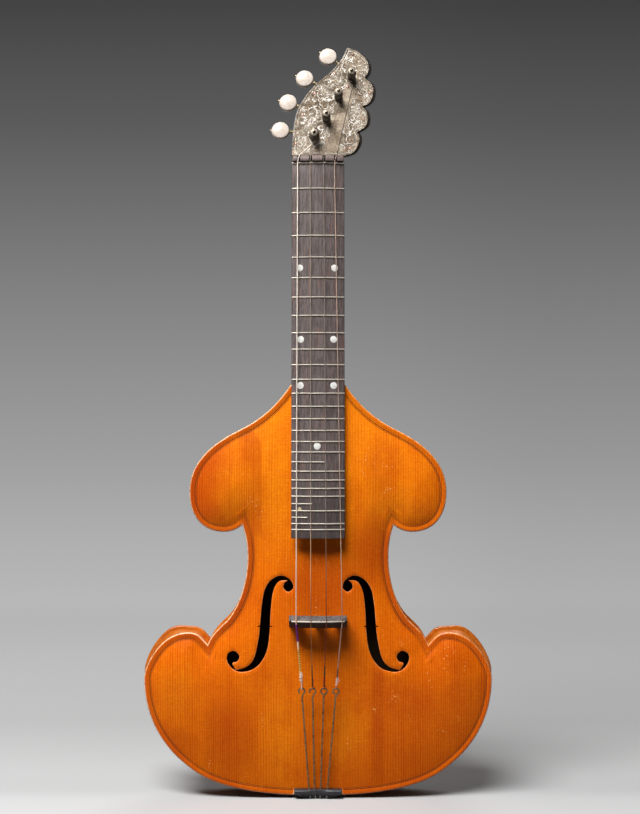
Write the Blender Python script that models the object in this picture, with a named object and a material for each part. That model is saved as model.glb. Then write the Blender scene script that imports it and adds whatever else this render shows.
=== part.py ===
"""Bowed zither: hollow waisted body, fretted neck, engraved head plate and four worm-gear tuners.

Lengths below are millimetres. +Z runs up the neck, the soundboard faces -Y and +X is the viewer's right.
The origin is the centre of the end foot's flat underside.
"""
import math

import bmesh
import bpy
import numpy as np
from mathutils import Matrix, Vector, geometry

MM = 0.001

# Driving dimensions
STRING_LENGTH = 326.7   # zero fret to bridge saddle, along a string
SADDLE_REACH = 33.285   # how much further forward the saddle stands than the zero fret
RIB_DEPTH = 32.0        # between the two plates
PLATE_EDGE = 3.8        # thickness of both plates at their edges
RIB_WALL = 1.5
GAP = 0.3               # clearance between pieces that touch
ARCH = 6.5              # rise of the soundboard at its middle
BACK_FLARE = 3.3        # how far the back's lower lobes stand out past the soundboard's
FLARE_LOW = 30.0        # height at which the lower ribs begin to lean out
FLARE_HIGH = 80.0       # height from which they lean out fully
BOARD_HALF = 19.0       # half width of the fingerboard
BOARD_CAMBER = 60.0     # radius across the fingerboard
BOARD_EDGE = 2.9        # thickness at the fingerboard's long edges
BOARD_LIFT = 0.675      # clearance between the fingerboard and the soundboard's upper edge
BOARD_SLOPE = 0.0945    # how far the surface comes forward per unit of height lost
FRET_HEIGHT = 0.8
FRET_COUNT = 27
BRIDGE_Z = 128.9
TOP_Z = 294.5           # upper end of both plates, at the neck
HEAD_LEAN = math.radians(14)
CORE_DEPTH = 12.0
CORE_LEDGE = 0.7        # how far the core shows outside the head plate
CORE_TAPER = 4.8        # how far inside the plate's outline the core's back lies
POST_HEIGHT = 13.6
TEETH = 16
MODULE = 0.5
WORM_PITCH_R = 1.6
BUTTON_R = 6.5
FOOT_HALF = 11.0
SPOOL_R = 2.2
COIL_FOOT = 3.8         # height of a winding's first turn over the head plate
WORM_DROP = 3.6         # depth of the worm axes under the face of the head plate

FRONT_Y = -RIB_DEPTH / 2 - PLATE_EDGE
SEAT_Y = RIB_DEPTH / 2
ZERO_FRET_Z = BRIDGE_Z + math.sqrt(STRING_LENGTH ** 2 - SADDLE_REACH ** 2)
NUT_TOP_Z = ZERO_FRET_Z + 5.5
BOARD_END_Z = ZERO_FRET_Z - 0.8194 * STRING_LENGTH
BOARD_DEPTH = BOARD_EDGE + BOARD_CAMBER - math.sqrt(BOARD_CAMBER ** 2 - BOARD_HALF ** 2)
# Fingerboard surface at the zero fret, the foot of the head plate and the scale that spaces the frets
ZERO_CREST_Y = FRONT_Y - BOARD_LIFT - BOARD_DEPTH + BOARD_SLOPE * (ZERO_FRET_Z - TOP_Z)
HEAD_FOOT = (0.0, ZERO_CREST_Y + 4.9, ZERO_FRET_Z + 4)
FRET_SCALE = 1.01775 * STRING_LENGTH
GEAR_R = MODULE * TEETH / 2
CENTRES = GEAR_R + WORM_PITCH_R

# Half outline of the plates from the foot to the neck: x, z, heading in degrees, handle in, handle out
LOWER_KNOTS = [(0, 1.8, 0, 0, 68.4), (94.3, 24.0, 38.5, 11.8, 19.7), (123.9, 85.7, 90, 29.5, 7.5),
               (92.7, 118.0, 180, 20.5, 8), (78.7, 109.3, 225, 6, 0)]
WAIST_KNOTS = [(78.7, 109.3, 112, 0, 8), (65.5, 125.9, 136, 8, 9), (50.2, 172.0, 90, 22, 9),
               (53.9, 194.7, 72, 8, 0)]
UPPER_KNOTS = [(53.9, 194.7, -42, 0, 5), (67.0, 189.7, 0, 5, 15), (91.6, 218.2, 90, 18, 17.1),
               (55.5, 262.6, 154, 28.7, 20), (19.5, TOP_Z, 124, 14, 0)]

# Head plate outline, x and height along the plate; each run is smooth and the runs meet at corners
HEAD_RUNS = [
    [(-18.5, 2.2), (-18.2, 12), (-17.2, 23.5), (-14.9, 35.9), (-9.4, 47.2), (-1.6, 57.2), (9.4, 67.3),
     (17.3, 77.1), (21.7, 86.3)],
    [(21.7, 86.3), (28.7, 83.4), (34.6, 78), (36.9, 72.3), (36.3, 66.5), (33.8, 62.4)],
    [(33.8, 62.4), (38.2, 58.7), (40.1, 53.4), (39.2, 46.6), (36.4, 42.3), (32, 40)],
    [(32, 40), (34.8, 36.6), (36, 30.5), (34.2, 24.4), (28.1, 20.1)],
    [(28.1, 20.1), (29.7, 16.6), (29.3, 11.2), (26, 5), (21.4, 2.6), (17.7, 2)],
]
POSTS = [(-2.8, 15.2), (5.9, 30.0), (14.7, 47.0), (24.2, 62.8)]
BUTTONS = [(-27.3, 22.3), (-21.8, 44.0), (-9.8, 62.9), (7.3, 80.3)]

# Strings from left to right: radius, then x at the tail hook, bridge, zero fret and nut
STRINGS = [(0.45, -11.4, -15.3, -14.6, -13.3), (0.25, -3.8, -5.0, -5.6, -5.0),
           (0.25, 4.2, 5.9, 4.1, 4.4), (0.30, 12.7, 16.9, 11.8, 13.4)]
HOOK_FEET = [(-6.4, -5.6), (-2.5, -2.0), (1.8, 1.4), (6.75, 6.2)]  # x above and below the end saddle
HOOK_WIRE = 0.55
EYE_R = 1.9
EYE_Z = 79.0

for old in list(bpy.data.objects):
    bpy.data.objects.remove(old, do_unlink=True)


# Materials and object helpers

def material(name, rgb, metallic=0.0, rough=0.5):
    mat = bpy.data.materials.new(name)
    mat.use_nodes = True
    shader = mat.node_tree.nodes["Principled BSDF"]
    shader.inputs["Base Color"].default_value = (*rgb, 1)
    shader.inputs["Metallic"].default_value = metallic
    shader.inputs["Roughness"].default_value = rough
    mat.diffuse_color = (*rgb, 1)
    return mat


LOOKS = {
    "spruce": ((0.78, 0.29, 0.03), 0, 0.3), "maple": ((0.58, 0.19, 0.03), 0, 0.3),
    "lime": ((0.72, 0.55, 0.34), 0, 0.7), "ebony": ((0.03, 0.025, 0.022), 0, 0.35),
    "rosewood": ((0.2, 0.1, 0.08), 0, 0.5), "nickel": ((0.66, 0.62, 0.55), 1, 0.35),
    "brass": ((0.7, 0.5, 0.22), 1, 0.35), "steel": ((0.55, 0.54, 0.52), 1, 0.3),
    "pearl": ((0.86, 0.8, 0.72), 0, 0.3), "silver": ((0.8, 0.79, 0.77), 1, 0.25),
    "dark_steel": ((0.3, 0.2, 0.15), 1, 0.45), "copper": ((0.66, 0.45, 0.38), 1, 0.35),
}


def dress(obj, look, crease=38):
    """Gives an object its own material, smooth faces and sharp creases."""
    obj.data.materials.clear()
    obj.data.materials.append(material(obj.name, *LOOKS[look]))
    if obj.type == "MESH":
        bm = bmesh.new()
        bm.from_mesh(obj.data)
        for face in bm.faces:
            face.smooth = True
        for edge in bm.edges:
            edge.smooth = len(edge.link_faces) == 2 and edge.calc_face_angle(0) < math.radians(crease)
        bm.to_mesh(obj.data)
        bm.free()
    return obj


def solid(name, verts, faces, origin=(0, 0, 0)):
    """Makes a mesh object from millimetre points, with outward faces and the given origin."""
    bm = bmesh.new()
    made = [bm.verts.new((Vector(v) - Vector(origin)) * MM) for v in verts]
    for face in faces:
        bm.faces.new([made[i] for i in face])
    bmesh.ops.recalc_face_normals(bm, faces=bm.faces)
    mesh = bpy.data.meshes.new(name)
    bm.to_mesh(mesh)
    bm.free()
    obj = bpy.data.objects.new(name, mesh)
    obj.location = Vector(origin) * MM
    bpy.context.scene.collection.objects.link(obj)
    return obj


def loft(name, rings, origin=(0, 0, 0)):
    """Skins a run of equal rings of points and caps both ends."""
    n = len(rings[0])
    verts = [p for ring in rings for p in ring]
    faces = [(a * n + j, a * n + (j + 1) % n, (a + 1) * n + (j + 1) % n, (a + 1) * n + j)
             for a in range(len(rings) - 1) for j in range(n)]
    faces += [tuple(range(n)), tuple((len(rings) - 1) * n + j for j in range(n))]
    return solid(name, verts, faces, origin)


def body_prism(name, loop, y0, y1, origin=(0, 0, 0)):
    """Extrudes a loop of (x, z) points from y0 to y1."""
    return loft(name, [[(x, y, z) for x, z in loop] for y in (y0, y1)], origin)


def lathe(name, profile, count, place, origin=(0, 0, 0), phase=0.0):
    """Turns (radius, height) points about the local Z axis of a placement matrix; zero radii are poles."""
    verts, faces, rows = [], [], []
    for r, h in profile:
        ring = 1 if r == 0 else count
        rows.append(range(len(verts), len(verts) + ring))
        for k in range(ring):
            a = phase + 2 * math.pi * k / count
            verts.append(place @ Vector((r * math.cos(a), r * math.sin(a), h)))
    for a, b in zip(rows, rows[1:]):
        for k in range(count):
            k2 = (k + 1) % count
            if len(a) == 1:
                faces.append((a[0], b[k], b[k2]))
            elif len(b) == 1:
                faces.append((a[k], a[k2], b[0]))
            else:
                faces.append((a[k], a[k2], b[k2], b[k]))
    for row in (rows[0], rows[-1]):
        if len(row) > 1:
            faces.append(tuple(row))
    return solid(name, verts, faces, origin)


def tube(name, points, radius, look, origin=(0, 0, 0), sides=1):
    """A round wire through millimetre points, as a bevelled curve with filled ends."""
    curve = bpy.data.curves.new(name, "CURVE")
    curve.dimensions = "3D"
    curve.bevel_depth = radius * MM
    curve.bevel_resolution = sides
    curve.use_fill_caps = True
    spline = curve.splines.new("POLY")
    spline.points.add(len(points) - 1)
    for point, at in zip(spline.points, points):
        point.co = (*((Vector(at) - Vector(origin)) * MM), 1)
    spline.use_smooth = True
    obj = bpy.data.objects.new(name, curve)
    obj.location = Vector(origin) * MM
    bpy.context.scene.collection.objects.link(obj)
    return dress(obj, look)


def boolean(obj, tool, kind="DIFFERENCE"):
    """Cuts, joins or intersects with a hidden tool object."""
    tool.hide_render = True
    tool.display_type = "WIRE"
    mod = obj.modifiers.new(f"{kind.title()}{len(obj.modifiers)}", "BOOLEAN")
    mod.operation = kind
    mod.solver = "EXACT"
    mod.object = tool
    return obj


def chamfer(obj, width, angle=50, segments=1):
    mod = obj.modifiers.new("Edge", "BEVEL")
    mod.width = width * MM
    mod.segments = segments
    mod.limit_method = "ANGLE"
    mod.angle_limit = math.radians(angle)
    return obj


def frame(origin, x, y, z):
    """A placement matrix from an origin and three axes, in millimetres."""
    return Matrix.Translation(Vector(origin)) @ Matrix([Vector(x), Vector(y), Vector(z)]).transposed().to_4x4()


# Body outline

def heading(degrees):
    return Vector((math.cos(math.radians(degrees)), math.sin(math.radians(degrees))))


def trace(knots, counts):
    """Points along a chain of Bezier knots, with the unit inward normal at each one."""
    points = []
    for (a, b), n in zip(zip(knots, knots[1:]), counts):
        p, q = Vector(a[:2]), Vector(b[:2])
        steps = geometry.interpolate_bezier(p, p + heading(a[2]) * a[4], q - heading(b[2]) * b[3], q, n + 1)
        points += [s.to_2d() for s in steps[:-1]]
    points.append(Vector(knots[-1][:2]))
    normals = []
    for i in range(len(points)):
        if i == 0:
            run = heading(knots[0][2])
        elif i == len(points) - 1:
            run = heading(knots[-1][2])
        else:
            run = points[i + 1] - points[i - 1]
        run.normalize()
        normals.append(Vector((-run.y, run.x)))
    return points, normals


def half_outline(fine=1.0):
    """Right-hand runs of the outline: points, and the vectors that move each one inward by one unit."""
    def n(*counts):
        return [max(2, round(c * fine)) for c in counts]
    lower, lower_in = trace(LOWER_KNOTS, n(8, 4, 7, 3))
    waist, waist_in = trace(WAIST_KNOTS, n(3, 5, 3))
    upper, upper_in = trace(UPPER_KNOTS, n(3, 5, 6, 5))
    for a, b in ((lower_in, waist_in), (waist_in, upper_in)):
        mitre = (a[-1] + b[0]) / (1 + a[-1].dot(b[0]))
        a[-1], b[0] = mitre, mitre.copy()
    return (lower, lower_in), (waist, waist_in), (upper, upper_in)


def inset(run, t):
    return [p + v * t for p, v in zip(*run)]


def flared(run, t, share=1.0):
    """A lower run moved inward by t, then outward at the lobe's side by a share of the flare; its corner stays."""
    out = []
    for p, v in zip(*run):
        side = 0.0 if p is run[0][-1] else min(1.0, max(0.0, -v.x / 0.6))
        rise = min(1.0, max(0.0, (p.y - FLARE_LOW) / (FLARE_HIGH - FLARE_LOW)))
        lean = side * side * (3 - 2 * side) * rise * rise * (3 - 2 * rise)
        out.append(p + v * (t - BACK_FLARE * share * lean))
    return out


def full_loop(t=0.0, fine=1.0, share=0.0):
    """The closed outline moved inward by t, anticlockwise from the middle of the foot."""
    lower, waist, upper = half_outline(fine)
    end = upper[1][-1]
    upper[1][-1] = Vector((end.x, end.y - 1)) / (1 - end.y)
    right = flared(lower, t, share) + inset(waist, t)[1:] + inset(upper, t)[1:]
    left = [Vector((-p.x, p.y)) for p in reversed(right[1:])]
    return right + left


EDGE = np.array([tuple(p) for p in full_loop()])


def edge_distance(x, z):
    """Distance from a point to the plate outline."""
    a, b = EDGE, np.roll(EDGE, -1, axis=0)
    run = b - a
    t = np.clip(((np.array((x, z)) - a) * run).sum(1) / (run ** 2).sum(1), 0, 1)
    return float(np.hypot(*(a + run * t[:, None] - (x, z)).T).min())


def arch(x, z):
    """Rise of the soundboard's outer face above its edge."""
    along = max(0.0, 1 - ((z - 0.509 * TOP_Z) / (0.516 * TOP_Z)) ** 2) ** 0.8
    across = 1 - math.exp(-(max(0.0, edge_distance(x, z) - 3) / 14) ** 1.3)
    return ARCH * along * across


def under_arch(x, z):
    """Hollowing of the soundboard's inner face, flat where the linings meet it."""
    step = min(1.0, max(0.0, (edge_distance(x, z) - 7.5) / 9))
    return 1.1 * arch(x, z) * step * step * (3 - 2 * step)


def crest(z):
    """Fingerboard surface along its middle."""
    return ZERO_CREST_Y - BOARD_SLOPE * (ZERO_FRET_Z - z)


def camber(x):
    return BOARD_CAMBER - math.sqrt(BOARD_CAMBER ** 2 - x * x)


# Soundboard: an arched slab trimmed by the outline, with two f-holes and a notch for the end saddle

def grid_slab(name, step, margin):
    xs = np.arange(-margin, margin + 0.1, step)
    zs = np.arange(-6, TOP_Z + 6, step)
    verts, faces = [], []
    for side in (0, 1):
        for z in zs:
            for x in xs:
                y = -SEAT_Y - under_arch(x, z) if side else FRONT_Y - arch(x, z)
                verts.append((x, y, z))
    nx, nz = len(xs), len(zs)
    for side in (0, 1):
        for j in range(nz - 1):
            for i in range(nx - 1):
                a = side * nx * nz + j * nx + i
                faces.append((a, a + 1, a + nx + 1, a + nx))
    rim = ([i for i in range(nx)] + [j * nx + nx - 1 for j in range(1, nz)]
           + [(nz - 1) * nx + i for i in range(nx - 2, -1, -1)] + [j * nx for j in range(nz - 2, 0, -1)])
    for a, b in zip(rim, rim[1:] + rim[:1]):
        faces.append((a, b, b + nx * nz, a + nx * nz))
    return solid(name, verts, faces)


def catmull(knots, per, closed=False):
    """A smooth run through points; the ends are corners."""
    pts = [Vector(k) for k in knots]
    out = []
    for i in range(len(pts) - 1):
        a, b = pts[i], pts[i + 1]
        before = pts[i - 1] if i else a * 2 - b
        after = pts[i + 2] if i + 2 < len(pts) else b * 2 - a
        for k in range(per):
            t = k / per
            out.append(0.5 * (2 * a + (b - before) * t + (2 * before - 5 * a + 4 * b - after) * t ** 2
                              + (3 * a - before - 3 * b + after) * t ** 3))
    return out


# Right f-hole as two smooth runs between the tips of its wings: distance from the middle, height
F_OUTER = [(21.8, 155.8), (24.0, 153.5), (24.4, 150.1), (21.0, 147.5), (17.6, 150.3), (18.3, 154.3),
           (21.5, 157.7), (26.0, 159.1), (30.9, 157.6), (35.4, 153.6), (38.5, 146.9), (40.1, 136.5),
           (41.2, 123.6), (42.3, 113.7), (45.3, 100.8), (50.3, 94.6), (58.0, 92.0)]
F_INNER = [(58.0, 92.0), (60.7, 96.6), (57.5, 97.8), (55.7, 101.5), (57.5, 104.5), (60.3, 105.5),
           (63.7, 103.8), (64.9, 100.3), (63.5, 95.8), (59.7, 92.1), (54.0, 90.6), (45.8, 92.6),
           (39.9, 98.3), (35.9, 107.2), (34.2, 120.1), (33.5, 134.5), (31.9, 147.4), (28.0, 154.6),
           (21.8, 155.8)]


def build_plates():
    widest = max(x for x, *_ in LOWER_KNOTS)
    board = grid_slab("soundboard", widest / 9.75, widest + 8.1)
    trim = body_prism("soundboard_trim", [(p.x, p.y) for p in full_loop()], FRONT_Y - 40, 0)
    boolean(board, trim, "INTERSECT")
    hole = catmull(F_OUTER, 2) + catmull(F_INNER, 2)
    for side, sign in (("left", -1), ("right", 1)):
        cutter = body_prism(f"f_hole_{side}", [(sign * p.x, p.y) for p in hole], FRONT_Y - 40, 0)
        boolean(board, cutter)
    notch = body_prism("saddle_notch", [(-17, -9), (17, -9), (17, 7.2), (-17, 7.2)], FRONT_Y - 40, 0)
    boolean(board, notch)
    dress(board, "spruce")
    back = body_prism("back_plate", [(p.x, p.y) for p in full_loop(0, 1, 1)], SEAT_Y, SEAT_Y + PLATE_EDGE)
    dress(chamfer(back, 0.7), "maple")


def build_ribs():
    t0, t1 = 2.7, 2.7 + RIB_WALL
    lower, waist, upper = half_outline()
    rib_y = SEAT_Y - GAP
    # The upper runs stop on the plane of the heel, so their last inward step is level.
    n = upper[1][-1]
    upper[1][-1] = Vector((n.x - n.y * n.y / -n.x, 0))
    for side, sign in (("left", -1), ("right", 1)):
        for part, run in (("lower", lower), ("waist", waist), ("upper", upper)):
            rings = []
            for y, share in ((-rib_y, 0.0), (rib_y, 1.0 if part == "lower" else 0.0)):
                outer, inner = flared(run, t0, share), flared(run, t1, share)
                # Half a gap is taken off each end, along the run.
                for line in (outer, inner):
                    first, last = (line[1] - line[0]).normalized(), (line[-2] - line[-1]).normalized()
                    line[0] += first * GAP / 2
                    line[-1] += last * GAP / 2
                rings.append([(sign * p.x, y, p.y) for p in outer + inner[::-1]])
            dress(loft(f"rib_{part}_{side}", rings), "maple")


def ring_solid(name, t0, t1, *spans, share=0.0):
    """A band between two insets of the outline, once for each (y0, y1) span."""
    outer, inner = full_loop(t0, 0.62, share), full_loop(t1, 0.62, share)
    n = len(outer)
    verts, faces = [], []
    for y0, y1 in spans:
        base = len(verts)
        for a, b in zip(outer, inner):
            verts += [(a.x, y0, a.y), (b.x, y0, b.y), (b.x, y1, b.y), (a.x, y1, a.y)]
        faces += [(base + 4 * i + j, base + 4 * i + (j + 1) % 4, base + 4 * ((i + 1) % n) + (j + 1) % 4,
                   base + 4 * ((i + 1) % n) + j) for i in range(n) for j in range(4)]
    return solid(name, verts, faces)


def build_inside():
    t0 = 2.7 + RIB_WALL + GAP
    t1, deep = t0 + 2.2, 6.0
    y1 = SEAT_Y - GAP
    # The linings are traced with fewer points, so they keep a little further off the ribs.
    t0, t1 = t0 + 0.45, t1 + 0.45
    dress(ring_solid("front_lining", t0, t1, (-y1, -y1 + deep)), "lime")
    # The back lining takes the ribs' lean at its own front edge, which clears them all the way back.
    dress(ring_solid("back_lining", t0, t1, (y1 - deep, y1), share=1 - deep / (2 * y1)), "lime")
    room = y1 - deep - GAP
    cutter = ring_solid("lining_room", t0 - 1.3, t1 + 0.5, (-y1 - 2, -room), (room, y1 + 2))
    t0 -= 0.45
    lower, waist, upper = half_outline()

    def block(name, loop):
        piece = body_prism(name, loop, -y1, y1)
        boolean(piece, cutter)
        dress(piece, "lime")

    for side, sign in (("left", -1), ("right", 1)):
        for part, a, b in (("lower", lower, waist), ("upper", waist, upper)):
            outer = inset(a, t0)[-4:] + inset(b, t0)[1:4]
            corner = a[0][-1] + a[1][-1] * (t0 + 9)
            loop = outer + [corner + (outer[-1] - corner) * 0.45 - (outer[-1] - outer[-2]).normalized() * 0.5,
                            corner, corner + (outer[0] - corner) * 0.45]
            block(f"corner_block_{part}_{side}", [(sign * p.x, p.y) for p in loop])
    top = [p for p in inset(upper, t0) if p.x < 42][:-1]
    end = upper[1][-1]
    top.append(Vector((upper[0][-1].x + (end.x - end.y * end.y / -end.x) * t0, TOP_Z - GAP)))
    depth = top[0].y - 4
    loop = [(p.x, p.y) for p in top] + [(-p.x, p.y) for p in reversed(top)] + [(-30, depth), (30, depth)]
    block("neck_block", loop)
    foot = [p for p in inset(lower, t0) if p.x < 30]
    half = [(p.x, p.y) for p in foot[1:]]
    height = 24
    loop = [(-x, z) for x, z in reversed(half)] + [tuple(foot[0])] + half + [(half[-1][0] - 3, height),
                                                                            (3 - half[-1][0], height)]
    block("end_block", loop)
    # Bass bar under the thick string's foot, hugging the inner face of the soundboard
    rings = []
    low, high = BRIDGE_Z - 70.9, BRIDGE_Z + 107.1
    for z in np.linspace(low, high, 11):
        t = (z - low) / (high - low)
        tall = 2.5 + 7.5 * math.sin(math.pi * t)
        y = -SEAT_Y - min(under_arch(-16.5, z), under_arch(-11.5, z)) + GAP + 0.25
        rings.append([(-16.5, y, z), (-11.5, y, z), (-12.2, y + tall, z), (-15.8, y + tall, z)])
    dress(loft("bass_bar", rings), "lime")
    x, z, r = 14.0, BRIDGE_Z - 7.9, 3.0
    tops = [-SEAT_Y - under_arch(x + r * math.cos(a), z + r * math.sin(a)) for a in np.linspace(0, 6, 13)]
    y0, y1 = max(tops) + GAP, SEAT_Y - GAP
    place = frame((x, y0, z), (1, 0, 0), (0, 0, 1), (0, 1, 0))
    dress(lathe("soundpost", [(r, 0), (r, y1 - y0)], 14, place), "lime")


# Neck, heel and head core

HEAD_X, HEAD_S = Vector((1, 0, 0)), Vector((0, math.sin(HEAD_LEAN), math.cos(HEAD_LEAN)))
HEAD_N = Vector((0, -math.cos(HEAD_LEAN), math.sin(HEAD_LEAN)))
HEAD = frame(HEAD_FOOT, HEAD_X, HEAD_S, HEAD_N)


def head_point(x, s, h=0.0):
    return HEAD @ Vector((x, s, h))


def head_loop(outset=0.0, per=2):
    """Outline of the head plate, moved outward."""
    pts = [p for run in HEAD_RUNS for p in catmull(run, per)] + [Vector(HEAD_RUNS[-1][-1])]
    if outset == 0:
        return pts
    out = []
    for i, p in enumerate(pts):
        a, b = (p - pts[i - 1]).normalized(), (pts[(i + 1) % len(pts)] - p).normalized()
        n1, n2 = Vector((-a.y, a.x)), Vector((-b.y, b.x))
        out.append(p + (n1 + n2) / max(0.5, 1 + n1.dot(n2)) * outset)
    return out


def head_prism(name, loop, h0, h1, origin=(0, 0, 0)):
    return loft(name, [[head_point(x, s, h) for x, s in loop] for h in (h0, h1)], origin)


def neck_front(z):
    return crest(z) + BOARD_DEPTH + GAP


def neck_ring(z, half, y_back, square, sink=0.0):
    """A flat front and a rounded back; square pushes the flanks out and sink lowers the front."""
    y0 = neck_front(z) + sink
    ring = []
    for k in range(15):
        a = math.pi * k / 14
        c, s = math.cos(a), math.sin(a)
        x = half * math.copysign(abs(c) ** square, c)
        ring.append((x, y0 + (y_back - y0) * s ** square, z))
    return ring


RECESS = [(-9.5, 9.5), (3.5, 9.5), (18, 33.5), (28, 51), (31.8, 61), (31.8, 69.5), (27, 74.0), (18.5, 72.5),
          (-9.5, 20)]


def station(i):
    """Worm frame of a tuner: its Z axis runs out to the button and its X axis points at the post."""
    post, knob = Vector(POSTS[i]), Vector(BUTTONS[i])
    run = post - knob
    angle = math.atan2(run.y, run.x) + math.asin(CENTRES / run.length)
    d = Vector((math.cos(angle), math.sin(angle)))
    reach = run.dot(d)
    foot = knob + d * reach
    z_axis = -(HEAD_X * d.x + HEAD_S * d.y)
    side = (post - foot).normalized()
    x_axis = HEAD_X * side.x + HEAD_S * side.y
    origin = head_point(foot.x, foot.y, -WORM_DROP)
    return frame(origin, x_axis, z_axis.cross(x_axis), z_axis), reach, origin


def post_frame(i, h=0.0):
    x, s = POSTS[i]
    return frame(head_point(x, s, h), HEAD_X, HEAD_S, HEAD_N)


def build_neck():
    half = BOARD_HALF - 0.4
    rings = [neck_ring(TOP_Z + GAP, half, SEAT_Y - 0.5, 0.6), neck_ring(TOP_Z + 6, half, SEAT_Y - 0.8, 0.62),
             neck_ring(TOP_Z + 13, half, SEAT_Y - 4.0, 0.7)]
    # Height, loss of half width, depth, squareness of the flanks and sink of the front above the heel
    shank = ZERO_FRET_Z - TOP_Z
    for z, less, depth, square, sink in ((TOP_Z + 22, 0, 23.1, 0.85, 0), (TOP_Z + 34, 0, 18.4, 0.9, 0),
                                         (TOP_Z + 0.536 * shank, 0, 15.3, 0.9, 0),
                                         (TOP_Z + 0.85 * shank, 0, 14.0, 0.9, 0),
                                         (ZERO_FRET_Z - 7.9, 0.1, 14.05, 0.85, 0),
                                         (ZERO_FRET_Z + 4.5, 0.2, 14.3, 0.75, 0),
                                         (ZERO_FRET_Z + 9.5, 1.1, 12.6, 0.7, 1.6)):
        rings.append(neck_ring(z, half - less, neck_front(z) + depth, square, sink))
    neck = loft("neck", rings)
    # The core runs straight back for a little and is then carved away towards its back.
    core = loft("head_core", [[head_point(x, s, -1.5 - h) for x, s in head_loop(t)]
                              for t, h in ((CORE_LEDGE, 0), (CORE_LEDGE, 2.5), (-CORE_TAPER, CORE_DEPTH))])
    boolean(neck, core, "UNION")
    boolean(neck, head_prism("head_recess", RECESS, -7.4, 6))
    for i in range(4):
        place, reach, _ = station(i)
        boolean(neck, lathe(f"shaft_hole_{i + 1}", [(1.75, 0), (1.75, reach + 6)], 10, place))
        boolean(neck, lathe(f"post_seat_{i + 1}", [(2.0, -10.2), (2.0, -6)], 10, post_frame(i)))
    dress(neck, "maple", 30)


def fret_z(n):
    run = FRET_SCALE * (1 - 2 ** (-n / 12))
    return ZERO_FRET_Z - run / math.hypot(1, BOARD_SLOPE)


def build_fingerboard():
    """A cambered board whose surface rises to a crown at every fret; frets 18, 23 and 25 are part width."""
    half = BOARD_HALF
    xs = (-half, -13, -6.5, 0, 6.5, 13, half)
    part_width = {18: 4.6, 23: -4.2, 25: -7.4}

    def ring(z, rise=0.0):
        y = crest(z)
        top = [(x, y + camber(x) - rise, z) for x in xs]
        return [(-half + 0.6, y + BOARD_DEPTH, z)] + top + [(half - 0.6, y + BOARD_DEPTH, z)]

    rings, bars = [ring(ZERO_FRET_Z + 0.8)], []
    for n in range(1, FRET_COUNT + 1):
        z = fret_z(n)
        if n in part_width:
            bar = []
            for x in np.linspace(-half + 0.3, part_width[n], 4):
                y = crest(z) + camber(x)
                bar.append([(x, y + 1.2, z - 0.5), (x, y - 0.05, z - 0.5), (x, y - FRET_HEIGHT, z),
                            (x, y - 0.05, z + 0.5), (x, y + 1.2, z + 0.5)])
            bars.append(loft(f"part_fret_{n}", bar))
        else:
            rings += [ring(z + 0.5), ring(z, FRET_HEIGHT), ring(z - 0.5)]
    rings.append(ring(BOARD_END_Z))
    board = loft("fingerboard", rings)
    for bar in bars:
        boolean(board, bar, "UNION")
    dress(board, "rosewood", 25)
    y, z, step = crest(ZERO_FRET_Z), ZERO_FRET_Z, np.linspace(-half + 0.4, half - 0.4, 9)
    rings = [[(x, y + camber(x) - 0.1, z - 0.5), (x, y + camber(x) - 0.8, z - 0.45),
              (x, y + camber(x) - 1.2, z), (x, y + camber(x) - 0.8, z + 0.45),
              (x, y + camber(x) - 0.1, z + 0.5)] for x in step]
    dress(loft("zero_fret", rings), "nickel")


def string_y(i, z):
    """Height of a string's centre line between the zero fret and the bridge."""
    r, _, x_bridge, x_zero, _ = STRINGS[i]
    top = crest(ZERO_FRET_Z) + camber(x_zero) - 1.2 - r - 0.1
    low = saddle_top(x_bridge) - r - 0.1
    t = (ZERO_FRET_Z - z) / (ZERO_FRET_Z - BRIDGE_Z)
    return top + (low - top) * t


def saddle_top(x):
    """Front of the bridge's saddle wire."""
    return ZERO_CREST_Y - 1.2 - SADDLE_REACH + camber(x)


def build_nut():
    z0, z1 = ZERO_FRET_Z + 1.1, NUT_TOP_Z - 0.2
    base = crest(ZERO_FRET_Z) + BOARD_DEPTH
    rings = []
    for x in np.linspace(-18.3, 18.3, 7):
        y = ZERO_CREST_Y + camber(x) - 2.6
        rings.append([(x, base, z0), (x, base, z1), (x, y + 1.6, z1), (x, y, z0 + 1.6), (x, y, z0)])
    nut = loft("nut", rings)
    for i, (r, _, _, x_zero, x_nut) in enumerate(STRINGS):
        y = string_y(i, ZERO_FRET_Z)
        w = r + 0.3
        slot = []
        for z in (ZERO_FRET_Z - 1, NUT_TOP_Z + 1):
            x = x_zero + (x_nut - x_zero) * (z - ZERO_FRET_Z) / (NUT_TOP_Z - ZERO_FRET_Z)
            slot.append([(x - w, y - 9, z), (x + w, y - 9, z), (x + w, y + w, z), (x - w, y + w, z)])
        boolean(nut, loft(f"nut_slot_{i + 1}", slot))
    dress(nut, "rosewood")


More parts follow.
